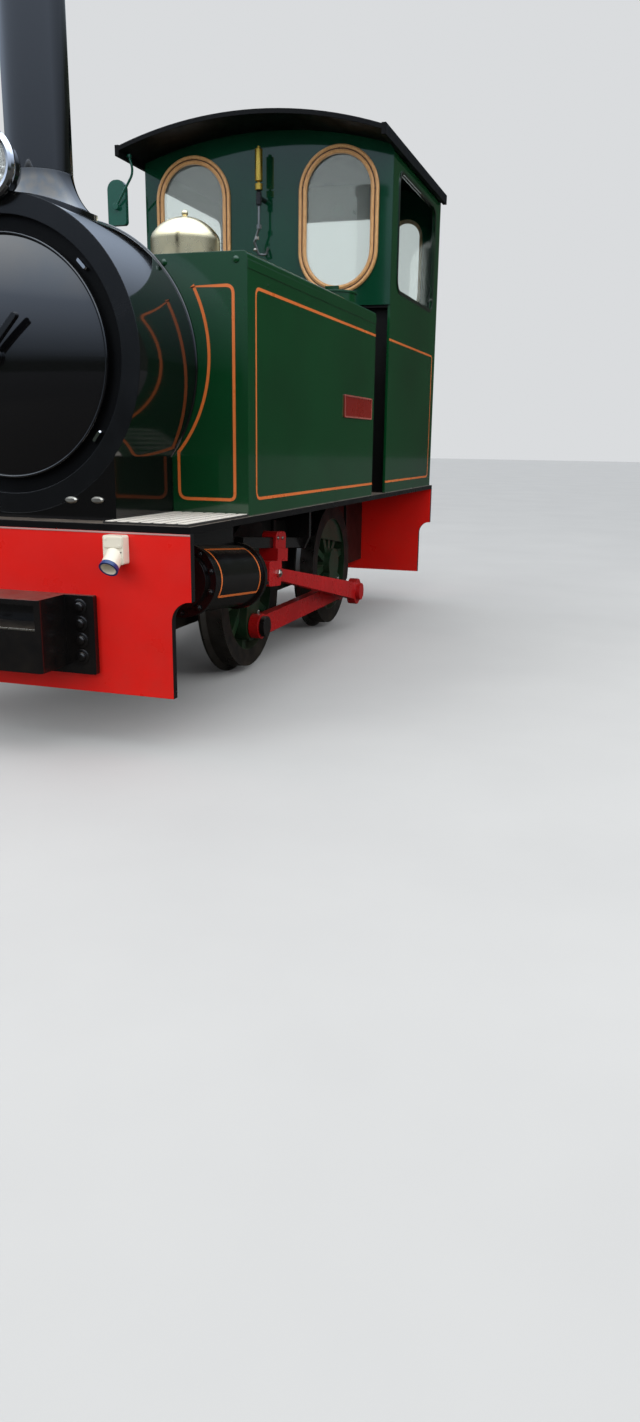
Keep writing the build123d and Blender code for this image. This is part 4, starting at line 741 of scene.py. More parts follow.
@dataclass(frozen=True)
class Wood(Finish):
    """Varnished or bare wood, its grain drawn out along one axis."""

    light: Colour
    dark: Colour
    grain: Vector
    roughness: float = 0.4
    coat: float = 0.0
    grain_scale: float = 30.0
    grain_height: float = 0.0006

    def shader(self, g: Graph) -> Socket:
        """Builds long grain streaks in colour, gloss and relief.

        Args:
            g: The node tree to build in.

        Returns:
            The shader.
        """
        streaks = g.noise(self.grain_scale, 6.0, self.grain, 0.6)
        base = g.mix(g.spread(streaks, 0.35, 0.68), linear(self.light), linear(self.dark))
        gloss = g.spread(streaks, 0.3, 0.7, self.roughness * 0.8, self.roughness * 1.2)
        relief = g.relief(streaks, 0.15, self.grain_height)
        return g.principled(base, gloss, relief, Coat_Weight=self.coat, Coat_Roughness=0.12)


@dataclass(frozen=True)
class Glass(Finish):
    """Window or lamp glass, slightly smeared."""

    tint: Colour
    roughness: float = 0.02
    clear: float = 0.85
    smear: float = 0.05

    def shader(self, g: Graph) -> Socket:
        """Builds clear glass with faint smears in its gloss.

        Args:
            g: The node tree to build in.

        Returns:
            The shader.
        """
        clean, smeared = self.roughness, self.roughness + self.smear
        gloss = g.spread(g.noise(5.0, 5.0), 0.4, 0.75, clean, smeared)
        return g.principled(linear(self.tint), gloss, Transmission_Weight=self.clear, IOR=1.45)


class Rule(Enum):
    """What decides where a blend's second finish shows."""

    ABOVE = "over a height"
    AHEAD = "nearer the front than a plane across the engine"
    ENDS = "on faces that look along the engine"
    OUTSIDE = "further than a radius from an axle"
    OUTBOARD = "further from the engine's middle than a distance"


@dataclass(frozen=True)
class Blend(Finish):
    """Two finishes on one node, parted by a rule."""

    base: Finish
    over: Finish
    rule: Rule
    limit: float
    centre: Pair = (0.0, 0.0)
    blur: float = 0.0004

    def share(self, g: Graph) -> Socket:
        """Builds the share of the second finish, zero or one but for a thin edge.

        The measure is z, -y, |normal y|, |x| or the distance of (y, z) from the centre.

        Args:
            g: The node tree to build in.

        Returns:
            The share.
        """
        if self.rule is Rule.ABOVE:
            measure = g.place("Z")
        elif self.rule is Rule.AHEAD:
            measure = g.calc("MULTIPLY", g.place("Y"), -1.0)
        elif self.rule is Rule.ENDS:
            measure = g.calc("ABSOLUTE", g.facing("Y"))
        elif self.rule is Rule.OUTBOARD:
            measure = g.calc("ABSOLUTE", g.place("X"))
        else:
            y = g.calc("SUBTRACT", g.place("Y"), self.centre[0])
            z = g.calc("SUBTRACT", g.place("Z"), self.centre[1])
            squares = g.calc("ADD", g.calc("MULTIPLY", y, y), g.calc("MULTIPLY", z, z))
            measure = g.calc("SQRT", squares)
        return g.spread(measure, self.limit - self.blur, self.limit + self.blur)

    def shader(self, g: Graph) -> Socket:
        """Mixes the two shaders by the share."""
        base, over = self.base.shader(g), self.over.shader(g)
        return g.run("ShaderNodeMixShader", {0: self.share(g), 1: base, 2: over})


def all_finishes() -> dict[str, Finish]:
    """Names every finish with its colours and gloss.

    Colours are screen colours. A paint's numbers are its roughness, coat, peel, grime and
    settled dust with its painted top highlight, a metal's its roughness, spots and
    scratches, a wood's its grain, roughness and coat, and a glass's its roughness and
    clearness, in this order.

    Returns:
        The finishes by name.
    """
    black = (10, 10, 12)
    gloss = Paint("gloss_black", black, (9, 9, 11), 0.08, 1.0, 0.02, wave=0.06, edge=0.003)
    satin = Paint("ring_black", (10, 11, 13), (8, 9, 11), 0.22, 0.0, 0.04, edge=0.003)
    # Painted shade: the recess round the door is darker and duller than the black around it, for the
    # shadow in the gap.
    recess = Paint("recess_black", (5, 5, 6), (4, 4, 4), 0.45, specular=0.15)
    red = Paint("beam_red", (226, 26, 18), (210, 20, 14), 0.32, 0.0, 0.03, 0.16, wave=0.02,
                specular=0.35)
    rod = Paint("rod_red", (184, 18, 22), (146, 12, 14), 0.28, 0.1, 0.03, 0.1, 0.1, specular=0.35)
    oily = Paint("oily_black", (14, 13, 13), black, 0.22, 0.2, 0.06, 0.12, 0.35, edge=0.0025,
                 specular=0.4)
    bright = Metal("bright_steel", (196, 192, 184), (140, 132, 122), 0.26, 0.6, edge=0.001)
    wheel = Paint("wheel_green", (16, 50, 28), (12, 38, 22), 0.35, 0.1, 0.1, 0.3, 0.2)
    tyre = Paint("tyre_black", (20, 18, 17), (14, 13, 12), 0.5, 0.0, 0.12, 0.3, 0.2, specular=0.3)
    tread = Metal("tread_steel", (150, 146, 140), (92, 82, 72), 0.3, 0.6, (1, 8, 8))
    valve = Paint("valve_black", (26, 26, 27), black, 0.3)
    pipe = Metal("pipe_grey", (150, 152, 150), (96, 96, 92), 0.35, 0.5)
    bell = Metal("bell_brass", (226, 190, 88), (196, 156, 66), 0.36, 0.4, (1, 1, 0.2))
    beam_side = Paint("beam_side", (24, 22, 22), black, 0.3)
    front_face = Blend("smokebox_face", recess, satin, Rule.AHEAD, limit=1.590)
    whistle_foot = Blend("whistle_foot", pipe, valve, Rule.ABOVE, limit=1.990)
    listed = [
        gloss, satin, red, rod, oily, bright,
        Paint("tank_green", (10, 62, 31), (8, 52, 25), 0.1, 0.5, 0.02, wave=0.07, edge=0.004),
        Paint("sheet_green", (10, 60, 40), (8, 50, 33), 0.07, 0.6, 0.02, wave=0.04),
        Paint("lining_orange", (222, 116, 52), (200, 98, 42), 0.3, 0.2, edge=0.0),
        Paint("saddle_black", (10, 10, 10), (8, 8, 8), 0.1, 0.1, specular=0.4),
        Paint("plate_black", (12, 11, 12), black, 0.3, 0.0, 0.08, 0.1, 0.6, edge=0.003,
              specular=0.25),
        Paint("frame_black", (20, 19, 19), (13, 12, 12), 0.42, 0.0, 0.12, 0.3, 0.4, specular=0.2),
        # Painted highlight: a pale strip that stands for light on the beams' rounded top edges.
        Paint("edge_pale", (186, 150, 146), (160, 122, 118), 0.35, 0.1),
        Paint("tread_pale", (226, 220, 210), (206, 199, 188), 0.5, 0.0, 0.12, edge=0.001),
        Paint("plate_grey", (46, 43, 40), (34, 32, 31), 0.5, 0.0, 0.14, edge=0.001),
        Paint("socket_cream", (234, 229, 212), (222, 214, 196), 0.3, 0.3, 0.04, edge=0.003),
        Paint("socket_blue", (20, 62, 124), (12, 40, 92), 0.28, 0.3, 0.04, edge=0.0),
        Paint("latch_dark", (70, 62, 54), (50, 44, 38), 0.5),
        Paint("plate_red", (128, 24, 16), (112, 18, 14), 0.3, edge=0.001),
        # The rim's pale colour is partly its own and partly a painted highlight on the raised rim.
        Paint("plate_rim", (168, 96, 86), (140, 68, 60), 0.3, edge=0.001),
        Paint("mirror_green", (18, 78, 62), (14, 62, 48), 0.08, 0.7, 0.02, edge=0.003),
        Paint("backhead_black", (38, 37, 36), (24, 24, 24), 0.5, 0.0, 0.14, 0.0, 0.4),
        Paint("groove_dark", (74, 46, 26), (52, 32, 20), 0.5, edge=0.0),
        Paint("roof_black", (12, 12, 13), (9, 9, 10), 0.5, 0.0, 0.1, dust_and_sheen=0.08, edge=0.003,
              specular=0.15),
        Metal("dome_brass", (238, 222, 180), (220, 194, 138), 0.26, 0.3),
        Metal("worn_brass", (204, 166, 98), (128, 96, 58), 0.3, 0.5, edge=0.001),
        Metal("chrome", (226, 227, 230), (180, 182, 188), 0.07, 0.2),
        Metal("worn_pale", (206, 200, 186), (96, 88, 78), 0.3, 0.7, edge=0.001),
        Wood("frame_wood", (214, 168, 114), (184, 134, 82), (6.0, 6.0, 1.0), 0.34, 0.3),
        Wood("floor_wood", (112, 84, 58), (70, 50, 34), (6.0, 1.0, 6.0), 0.65),
        Glass("window_glass", (226, 236, 232), 0.015, 0.9),
        Glass("lamp_glass", (236, 240, 238), 0.04),
        Blend("smokebox_black", gloss, front_face, Rule.ENDS, limit=0.7),
        Blend("beam_paint", beam_side, red, Rule.ENDS, limit=0.5),
        Blend("whistle_parts", whistle_foot, bell, Rule.ABOVE, limit=2.0585),
        Blend("left_slide_parts", rod, bright, Rule.AHEAD, limit=0.7735),
        Blend("right_slide_parts", rod, bright, Rule.AHEAD, limit=0.6445),
    ]
    for name, y in (("front_wheel_parts", -AXLE_Y), ("rear_wheel_parts", AXLE_Y)):
        axle = (y, AXLE_Z)
        painted = Blend(name + "_painted", wheel, tyre, Rule.OUTSIDE, limit=0.229, centre=axle)
        rolling = Blend(name + "_rolling", painted, tread, Rule.OUTSIDE, limit=0.2965, centre=axle)
        listed.append(Blend(name, rolling, oily, Rule.OUTBOARD, limit=0.3855))
    return {finish.name: finish for finish in listed}


class Finishes:
    """The locomotive's finishes, each made into a material once and shared."""

    def __init__(self) -> None:
        """Takes the list of finishes, none of them made yet."""
        self.table = all_finishes()
        self.made: dict[str, bpy.types.Material] = {}

    def get(self, name: str) -> bpy.types.Material:
        """Returns a finish's material, made at its first use.

        Args:
            name: The finish's name.

        Returns:
            The material.
        """
        if name not in self.made:
            self.made[name] = self.table[name].material()
        return self.made[name]


# Sub-assemblies


def in_scene(name: str, data: bpy.types.ID) -> bpy.types.Object:
    """Makes an object of a mesh, lamp or camera and links it to the scene.

    Args:
        name: The object's name.
        data: What it shows.

    Returns:
        The object.
    """
    made = bpy.data.objects.new(name, data)
    bpy.context.scene.collection.objects.link(made)
    return made


def stand(thing: bpy.types.Object, right: Array, up: Array, back: Array, place: Vector) -> None:
    """Places an object with its own X, Y and Z along right, up and back."""
    columns = np.column_stack((right, up, back, place))
    thing.matrix_world = Matrix([*columns.tolist(), (0, 0, 0, 1)])


def open_line(side: float, start: float, turn: float, heights: Pair) -> Shell:
    """Draws a panel line on a side sheet, open at one upright.

    The path runs from the start to the turn at one height, and back at the other.

    Args:
        side: The sheet's x.
        start: The y of the open upright.
        turn: The y of the upright that has the rounded corners.
        heights: Heights of the run out and of the run back.

    Returns:
        The line as a closed shell.
    """
    out, back = heights
    corners = rounded(((start, out), (turn, out), (turn, back), (start, back)),
                      radius=(0.0, LINE_CORNER, LINE_CORNER, 0.0))
    return strip(corners, LINE_WIDTH, PAINT_HEIGHT, left_face(side), closed=False)


@dataclass
class Assembly:
    """What every sub-assembly shares: turning shells into pieces and repainting nodes."""

    finishes: Finishes
    frame: dict

    def piece(self, name: str, shell: Shell, finish: str, body: str = "engine",
              slot: str = "black_satin") -> None:
        """Makes a shell into a named, finished piece that rides on a body.

        Points that coincide are merged by their rounded places, faces that shrink to a line
        are dropped, and edges sharper than the smooth angle stay sharp.

        Args:
            name: The piece's name.
            shell: Its surface.
            finish: Name of its finish.
            body: Body that carries it.
            slot: The record's material slot it belongs to; not used.
        """
        keys = np.round(shell.points * MERGE_STEPS).astype(np.int64)
        _, first, inverse = np.unique(keys, axis=0, return_index=True, return_inverse=True)
        points, quads = shell.points[first], inverse.reshape(-1)[shell.quads]
        keep = quads != np.roll(quads, 1, axis=1)
        whole = keep.sum(axis=1) >= 3
        quads, keep = quads[whole], keep[whole]
        totals = keep.sum(axis=1)
        corners = quads[keep]
        mesh = bpy.data.meshes.new(name)
        mesh.vertices.add(len(points))
        mesh.vertices.foreach_set("co", points.astype(np.float32).ravel())
        mesh.loops.add(len(corners))
        mesh.loops.foreach_set("vertex_index", corners.astype(np.int32))
        mesh.polygons.add(len(totals))
        starts = np.concatenate(((0,), np.cumsum(totals)[:-1])).astype(np.int32)
        mesh.polygons.foreach_set("loop_start", starts)
        mesh.polygons.foreach_set("use_smooth", np.ones(len(totals), dtype=bool))
        mesh.update(calc_edges=True)
        mesh.validate()
        mesh.set_sharp_from_angle(angle=SMOOTH_ANGLE)
        mesh.materials.append(self.finishes.get(finish))
        piece = in_scene(name, mesh)
        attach(piece, body)
        log.info("%s: %d faces on %s", name, len(totals), body)

    def paint(self, finish: str, *nodes: str) -> None:
        """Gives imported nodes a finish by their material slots.

        Args:
            finish: Name of the finish.
            nodes: The nodes' names.
        """
        for node in nodes:
            for slot in self.frame["nodes"][node].material_slots:
                slot.material = self.finishes.get(finish)
            log.info("%s painted %s", node, finish)

    def dress(self) -> None:
        """Builds the sub-assembly's pieces and paints its nodes."""
        raise NotImplementedError


@dataclass
class FrontEnd(Assembly):
    """Buffer beams, centre couplers, running plate, tread plates and the electrical socket."""

    front: float = -1.690
    rear: float = 1.640
    plate_top: float = 0.683
    plate_bottom: float = 0.662
    half_width: float = 0.645
    edge_drop: float = 0.003
    flange_thickness: float = 0.020
    bolt_heights: Pair = (0.436, 0.283)
    bolt_rows: int = 4
    bolt_x: float = 0.286
    mouth_half_width: float = 0.220
    mouth_bottom: float = 0.386
    sill_width: float = 0.005
    coupler_front: float = -1.850
    tread_span: Pair = (0.3585, 0.633)
    tread_front: float = -1.678
    tread_rear: float = -1.2135
    tread_thickness: float = 0.006
    slat_count: int = 7
    slat_gap: float = 0.013
    slat_margin: float = 0.006
    socket_place: Vector = (0.415, -1.724, 0.612)
    screw_spots: tuple[Vector, Vector] = ((-0.022, -0.003, 0.031), (0.022, -0.003, 0.013))
    upper_latch: tuple[Pair, Pair] = ((0.424, 0.604), (0.442, 0.606))
    lower_latch: tuple[Pair, Pair] = ((0.408, 0.591), (0.419, 0.593))
    spout_mouth: Vector = (0.415, -1.7556, 0.5603)
    spout_way: Vector = (0.0, -0.7507, -0.6606)

    def edge_strips(self) -> None:
        """Lays a pale strip along the top of each beam, a painted highlight on its rounded edge."""
        z = self.plate_bottom - self.edge_drop
        path = ((-self.half_width, z), (self.half_width, z))
        edges = [strip(path, width=0.005, height=0.0015, surface=end_face(y, out), closed=False)
                 for y, out in ((self.front, -1.0), (self.rear, 1.0))]
        self.piece("beam_top_edges", joined(*edges), "edge_pale", slot="beam_red")

    def coupler_trim(self) -> None:
        """Sets the bolts of both coupler flanges and wears both mouths' sills."""
        sides = (-self.bolt_x, self.bolt_x)
        heights = np.linspace(*self.bolt_heights, self.bolt_rows)
        x, z = (values.ravel() for values in np.meshgrid(sides, heights))
        bolt = fastener(Head.WASHER, radius=0.016)
        sill_z = self.mouth_bottom - self.sill_width / 2
        sill = ((-self.mouth_half_width, sill_z), (self.mouth_half_width, sill_z))
        bolts, sills = [], []
        for y, out in ((self.front, -1.0), (self.rear, 1.0)):
            places = rows(x, y + out * self.flange_thickness, z)
            bolts.append(bolt.placed(places, (0, out, 0)))
            mouth = end_face(y + out * (self.front - self.coupler_front), out)
            sills.append(strip(sill, self.sill_width, height=0.0008, surface=mouth, closed=False))
        self.piece("coupler_bolts", joined(*bolts), "oily_black")
        self.piece("coupler_sills", joined(*sills), "worn_pale")

    def tread_slats(self) -> None:
        """Lays the pale raised slats of the tread plates, running fore and aft."""
        low, high = self.tread_span
        pitch = (high - low) / self.slat_count
        x = low + pitch * (np.arange(self.slat_count) + 0.5)
        length = self.tread_rear - self.tread_front - self.slat_margin
        outline = box_outline((-0.5, 0.5), (-0.5, 0.5)) * (pitch - self.slat_gap, length)
        slat = slab(outline, height=0.0018, bevel=0.0006)
        middle = (self.tread_front + self.tread_rear) / 2
        slats = slat.placed(rows(x, middle, self.plate_top + self.tread_thickness), UP, REAR)
        self.piece("tread_slats", slats.mirrored(), "tread_pale", slot="pale_metal")

    def socket_trim(self) -> None:
        """Adds the socket's cover lip with its screws, its latch marks and the blue mouth ring."""
        profile = ((0.0235, -0.012), (0.0278, -0.012), (0.0290, 0.001), (0.0235, 0.001))
        ring = turned(profile, ring=True).placed(self.spout_mouth, self.spout_way)
        self.piece("socket_ring", ring, "socket_blue", slot="cream")
        outline = rounded(box_outline((-0.030, 0.030), (0.006, 0.038)), radius=0.006)
        cover = slab(outline, height=0.003, bevel=0.0012).placed(self.socket_place, FRONT, UP)
        screws = fastener(Head.FLAT, radius=0.0035, segments=10)
        screws = screws.placed(np.array(self.socket_place) + self.screw_spots, FRONT)
        self.piece("socket_cover", joined(cover, screws), "socket_cream", slot="cream")
        face = end_face(self.socket_place[1], -1.0)
        marks = [strip(line, width=0.004, height=0.001, surface=face, closed=False)
                 for line in (self.upper_latch, self.lower_latch)]
        self.piece("socket_latches", joined(*marks), "latch_dark", slot="cream")

    def dress(self) -> None:
        """Builds the front end's pieces and paints its nodes."""
        self.paint("beam_paint", "buffer_beams")
        self.paint("plate_black", "running_plate")
        self.paint("oily_black", "couplers")
        self.paint("frame_black", "main_frames")
        self.paint("plate_grey", "front_tread_plates")
        self.paint("socket_cream", "lamp_socket")
        self.edge_strips()
        self.coupler_trim()
        self.tread_slats()
        self.socket_trim()


@dataclass
class BoilerLine(Assembly):
    """Smokebox with its door, saddle, chimney, lamp, boiler, dome, valves and whistle."""

    axis_z: float = 1.152
    front: float = -1.596
    recess: float = -1.574
    rear: float = -1.213
    radius: float = 0.455
    door_face: float = -1.591
    bead_radius: float = 0.0045
    clip_radius: float = 0.371
    clip_angles: Pair = (43.0, -37.0)
    clamp_spots: tuple[Pair, Pair] = ((0.208, 0.742), (0.298, 0.744))
    clamp_flatness: float = 0.48
    lamp_place: Vector = (0.0, -1.630, 1.670)
    bowl_radius: float = 0.072
    bowl_depth: float = 0.044
    bowl_foot: float = -0.056
    bowl_wall: float = 0.002
    barrel_radius: float = 0.395
    band_places: tuple[float, ...] = (-1.150, -0.700, -0.070, 0.300)
    whistle_y: float = 0.490
    nut_spot: Vector = (-0.011, 0.001, 1.846)
    cock_spot: Vector = (-0.021, 0.004, 1.803)

    def bead(self, radius: float, height: float, y: float) -> Shell:
        """Makes a round bead on the boiler's axis.

        Args:
            radius: Radius of the bead's middle line.
            height: How far that line stands before y.
            y: The face that the bead lies on.

        Returns:
            The closed ring.
        """
        section = arc((radius, height), self.bead_radius, start=0, end=330, steps=11)
        return turned(section, segments=128, ring=True).placed((0.0, y, self.axis_z), FRONT)

    def front_trim(self) -> None:
        """Adds the door's rim bead, the drum's rear bead, two door clips and four foot clamps."""
        self.piece("door_rim_bead", self.bead(0.3455, 0.003, self.door_face), "gloss_black",
                   "smokebox_door", "black_gloss")
        self.piece("smokebox_rear_bead", self.bead(self.radius, 0.0, self.rear - 0.005),
                   "gloss_black", slot="black_gloss")
        outline = rounded(box_outline((-0.021, 0.021), (-0.006, 0.006)), radius=0.005)
        turn = np.radians(self.clip_angles)
        spokes = rows(np.cos(turn), 0.0, np.sin(turn))
        places = spokes * self.clip_radius + (0.0, self.recess, self.axis_z)
        clips = slab(outline, height=0.014, bevel=0.004).placed(places, FRONT, spokes)
        self.piece("door_clips", clips, "chrome", slot="black_gloss")
        outline = arc((0.0, 0.0), radius=0.021, start=0, end=342, steps=19)
        clamp = slab(outline * (1.0, self.clamp_flatness), height=0.010, bevel=0.005)
        x, z = np.array(self.clamp_spots).T
        clamps = clamp.placed(rows(x, self.front, z), FRONT)
        self.piece("smokebox_foot_clamps", clamps.mirrored(), "worn_pale")

    def lamp_trim(self) -> None:
        """Adds the lamp's chrome ring, and the reflector bowl and bulb behind its glass.

        The bowl's section is radius * t at foot + depth * t squared, with its wall outside.
        """
        section = ((0.0795, -0.022), (0.090, -0.022), (0.096, -0.014), (0.098, -0.004),
                   (0.094, 0.005), (0.086, 0.009), (0.078, 0.007), (0.0735, 0.001),
                   (0.0795, -0.002))
        ring = turned(section, segments=64, ring=True)
        self.piece("lamp_ring", ring.placed(self.lamp_place, FRONT), "chrome")
        t = np.linspace(0.12, 1.0, 12)
        rise = self.bowl_depth * t ** 2
        inner = rows(self.bowl_radius * t, self.bowl_foot + rise)[::-1]
        outer_radius = self.bowl_radius + self.bowl_wall
        outer = rows(outer_radius * t, self.bowl_foot - self.bowl_wall + rise)
        reflector = turned(np.concatenate((outer, inner)), segments=48, ring=True)
        section = ((0.006, -0.056), (0.006, -0.044), (0.010, -0.038), (0.010, -0.030),
                   (0.006, -0.025))
        bowl = joined(reflector, turned(section, segments=20))
        self.piece("lamp_reflector", bowl.placed(self.lamp_place, FRONT), "chrome")

    def boiler_bands(self) -> None:
        """Straps thin cleading bands round the boiler barrel between the tanks."""
        barrel = RoundSide((0.0, 0.0, self.axis_z), REAR, self.barrel_radius)
        turn = np.linspace(-pi, pi, 121)[:-1] * self.barrel_radius
        bands = [strip(rows(turn, y), width=0.045, height=0.002, surface=barrel)
                 for y in self.band_places]
        self.piece("boiler_bands", joined(*bands), "gloss_black")

    def whistle_trim(self) -> None:
        """Adds the union nut and the small drain cock on the whistle's pipe."""
        base = np.array((0.0, self.whistle_y, 0.0))
        nut = hex_nut(radius=0.0105, height=0.014).placed(base + self.nut_spot, UP)
        ball = arc((0.0, 0.0), radius=0.009, start=-80, end=80, steps=8)
        cock = turned(ball, segments=16).placed(base + self.cock_spot, UP)
        self.piece("whistle_cock", joined(nut, cock), "worn_pale", slot="polished_brass")

    def dress(self) -> None:
        """Builds the boiler line's pieces and paints its nodes."""
        self.paint("smokebox_black", "smokebox")
        self.paint("gloss_black", "smokebox_door", "chimney", "chimney_base", "headlamp", "boiler")
        self.paint("saddle_black", "smokebox_saddle")
        self.paint("dome_brass", "steam_dome")
        self.paint("worn_brass", "safety_valves")
        self.paint("whistle_parts", "whistle")
        self.paint("lamp_glass", "headlamp_lens")
        self.front_trim()
        self.lamp_trim()
        self.boiler_bands()
        self.whistle_trim()


@dataclass
class Tanks(Assembly):
    """The side tanks: lining, top band, screws, bolts and blank plates."""

    side: float = 0.631
    front: float = -1.213
    rear: float = 0.324
    top: float = 1.489
    band_height: float = 0.047
    band_drop: float = 0.014
    band_trim: float = 0.020
    screw_count: int = 4
    screw_inset: float = 0.18
    screw_z: float = 1.411
    bolt_x: Pair = (0.347, 0.594)
    bolt_z: float = 1.464
    line_front: float = -1.142
    line_heights: Pair = (1.390, 0.736)
    front_corners: tuple[Pair, ...] = ((0.446, 1.390), (0.583, 1.390), (0.583, 0.734),
                                       (0.383, 0.734), (0.383, 0.884))
    front_rounding: tuple[float, ...] = (0.0, 0.025, 0.020, 0.030, 0.0)
    sweep_centre: Pair = (0.047, 1.184)
    sweep_radius: float = 0.4507
    plate: tuple[Pair, Pair] = ((-0.153, 0.275), (1.022, 1.115))
    plate_rim: float = 0.004

    def lining(self) -> None:
        """Draws the orange panel lines on the tanks' sides and fronts.

        The side's line is open at the rear edge. The front's inner line is an arc that
        keeps its distance from the smokebox and drops to an upright low down.
        """
        side = open_line(self.side, self.rear, self.line_front, self.line_heights)
        sweep = arc(self.sweep_centre, self.sweep_radius, start=27.3, end=-41.7, steps=36)
        path = np.concatenate((rounded(self.front_corners, self.front_rounding), sweep[::-1]))
        front = strip(path, LINE_WIDTH, PAINT_HEIGHT, end_face(self.front, -1.0))
        self.piece("tank_lining", joined(side, front).mirrored(), "lining_orange",
                   slot="tank_green")

    def top_band(self) -> None:
        """Adds the band along each tank's top edge, the screws under it and the front's bolts."""
        z = self.top - self.band_height / 2 - self.band_drop
        band = strip(((self.front, z), (self.rear, z)), self.band_height - self.band_trim,
                     height=0.002, surface=left_face(self.side), closed=False)
        along = np.linspace(self.front + self.screw_inset, self.rear - self.screw_inset,
                            self.screw_count)
        screws = fastener(Head.FLAT, radius=0.005, segments=10)
        screws = screws.placed(rows(self.side, along, self.screw_z), LEFT)
        bolts = fastener(Head.DOME, radius=0.011)
        bolts = bolts.placed(rows(self.bolt_x, self.front, self.bolt_z), FRONT)
        self.piece("tank_bands_and_bolts", joined(band, screws, bolts).mirrored(), "tank_green",
                   slot="tank_green")

    def plates(self) -> None:
        """Adds the small blank red plate with a pale raised rim near the rear of each tank.

        The rim's pale colour is partly its own and partly a painted highlight.
        """
        low, high = np.array(self.plate).T
        middle, (half_y, half_z) = (low + high) / 2, (high - low) / 2
        outline = rounded(box_outline((-half_z, half_z), (-half_y, half_y)), radius=0.006)
        plate = slab(outline, height=0.004, bevel=0.001).placed((self.side, *middle), LEFT, REAR)
        self.piece("tank_plates", plate.mirrored(), "plate_red", slot="beam_red")
        inset = box_outline(*zip(low + self.plate_rim, high - self.plate_rim))
        rim = strip(rounded(inset, radius=0.003), width=0.006, height=0.006,
                    surface=left_face(self.side))
        self.piece("tank_plate_rims", rim.mirrored(), "plate_rim", slot="beam_red")

    def dress(self) -> None:
        """Builds the tanks' pieces and paints their nodes."""
        self.paint("tank_green", "side_tanks", "left_filler_lid", "right_filler_lid")
        self.lining()
        self.top_band()
        self.plates()


@dataclass
class Cab(Assembly):
    """Cab sheets, roof, windows, door, mirror and what stands inside.

    A window is its centre's x, half its width, its foot and its top.
    """

    side: float = 0.630
    sheet: float = 0.012
    front: float = 0.564
    rear: float = 1.637
    front_window: tuple[float, float, float, float] = (0.371, 0.176, 1.622, 2.226)
    rear_window: tuple[float, float, float, float] = (0.440, 0.095, 1.642, 2.132)
    frame_depth: float = 0.010
    bead_reaches: Pair = (0.0115, -0.0105)
    bead_radius: float = 0.0075
    bead_sink: float = 0.0025
    groove_reach: float = 0.001
    opening: tuple[Pair, Pair] = ((0.690, 1.505), (1.628, 2.152))
    line_ends: Pair = (0.577, 1.560)
    line_heights: Pair = (0.736, 1.398)
    mirror_place: Vector = (-0.728, 0.473, 2.036)
    mirror_corners: tuple[float, ...] = (0.012, 0.012, 0.060, 0.060)

    @staticmethod
    def round_ended(window: tuple[float, float, float, float], reach: float) -> Array:
        """Draws a window's outline with half-round ends, widened by a reach.

        Args:
            window: Its centre's x, half its width, its foot and its top.
            reach: Distance outside the glass opening's edge.

        Returns:
            Points (x, z), anticlockwise.
        """
        x, half, low, high = window
        upper = arc((x, high - half), half + reach, start=0, end=180)
        lower = arc((x, low + half), half + reach, start=180, end=360)
        return np.concatenate((upper, lower))

    def window_beads(self) -> None:
        """Runs two half-round beads, a dark groove and small screws round each window frame."""
        beads, dark = [], []
        windows = ((self.front_window, self.front, -1.0), (self.rear_window, self.rear, 1.0))
        for window, sheet, out in windows:
            face = sheet + out * self.frame_depth
            for reach in self.bead_reaches:
                x, z = dense(self.round_ended(window, reach), step=0.05, closed=True).T
                path = rows(x, face - out * self.bead_sink, z)
                beads.append(tube(path, self.bead_radius, REAR, sides=16, closed=True))
            line = self.round_ended(window, self.groove_reach)
            dark.append(strip(line, width=0.005, height=0.0004, surface=end_face(face, out)))
            x, z = dense(line, step=0.15, closed=True)[::6].T
            screw = fastener(Head.FLAT, radius=0.0042, segments=10)
            dark.append(screw.placed(rows(x, face, z), (0, out, 0)))
        self.piece("window_beads", joined(*beads).mirrored(), "frame_wood", slot="window_frame")
        self.piece("window_grooves", joined(*dark).mirrored(), "groove_dark", slot="window_frame")

    def side_trim(self) -> None:
        """Draws the panel lines on the cab's lower sides and beads the side openings."""
        line = open_line(self.side, *self.line_ends, self.line_heights)
        self.piece("cab_lining", line.mirrored(), "lining_orange", slot="tank_green")
        outline = rounded(box_outline(*self.opening), radius=0.070, steps=8)
        inner = FlatSide((self.side - self.sheet, 0.0, 0.0), REAR, UP, (-1, 0, 0))
        beads = [strip(outline, width=0.014, height=0.004, surface=face)
                 for face in (left_face(self.side), inner)]
        self.piece("opening_beads", joined(*beads).mirrored(), "gloss_black", slot="black_gloss")

    def mirror_glass(self) -> None:
        """Adds the mirror's glass, facing the rear inside its case's rim."""
        outline = box_outline((-0.042, 0.042), (-0.094, 0.094))
        glass = slab(rounded(outline, self.mirror_corners, steps=8), height=0.0015, bevel=0.0008)
        self.piece("mirror_glass", glass.placed(self.mirror_place, REAR, UP), "chrome",
                   slot="mirror_case")

    def dress(self) -> None:
        """Builds the cab's pieces and paints its nodes."""
        self.paint("sheet_green", "cab_front_sheet", "cab_rear_sheet", "cab_door")
        self.paint("tank_green", "cab_sides")
        self.paint("roof_black", "cab_roof")
        self.paint("frame_black", "cab_apron")
        self.paint("frame_wood", "window_frames")
        self.paint("window_glass", "window_panes")
        self.paint("floor_wood", "cab_floor")
        self.paint("mirror_green", "mirror")
        self.paint("backhead_black", "firehole_door")
        self.paint("worn_brass", "backhead_fittings")
        self.window_beads()
        self.side_trim()
        self.mirror_glass()


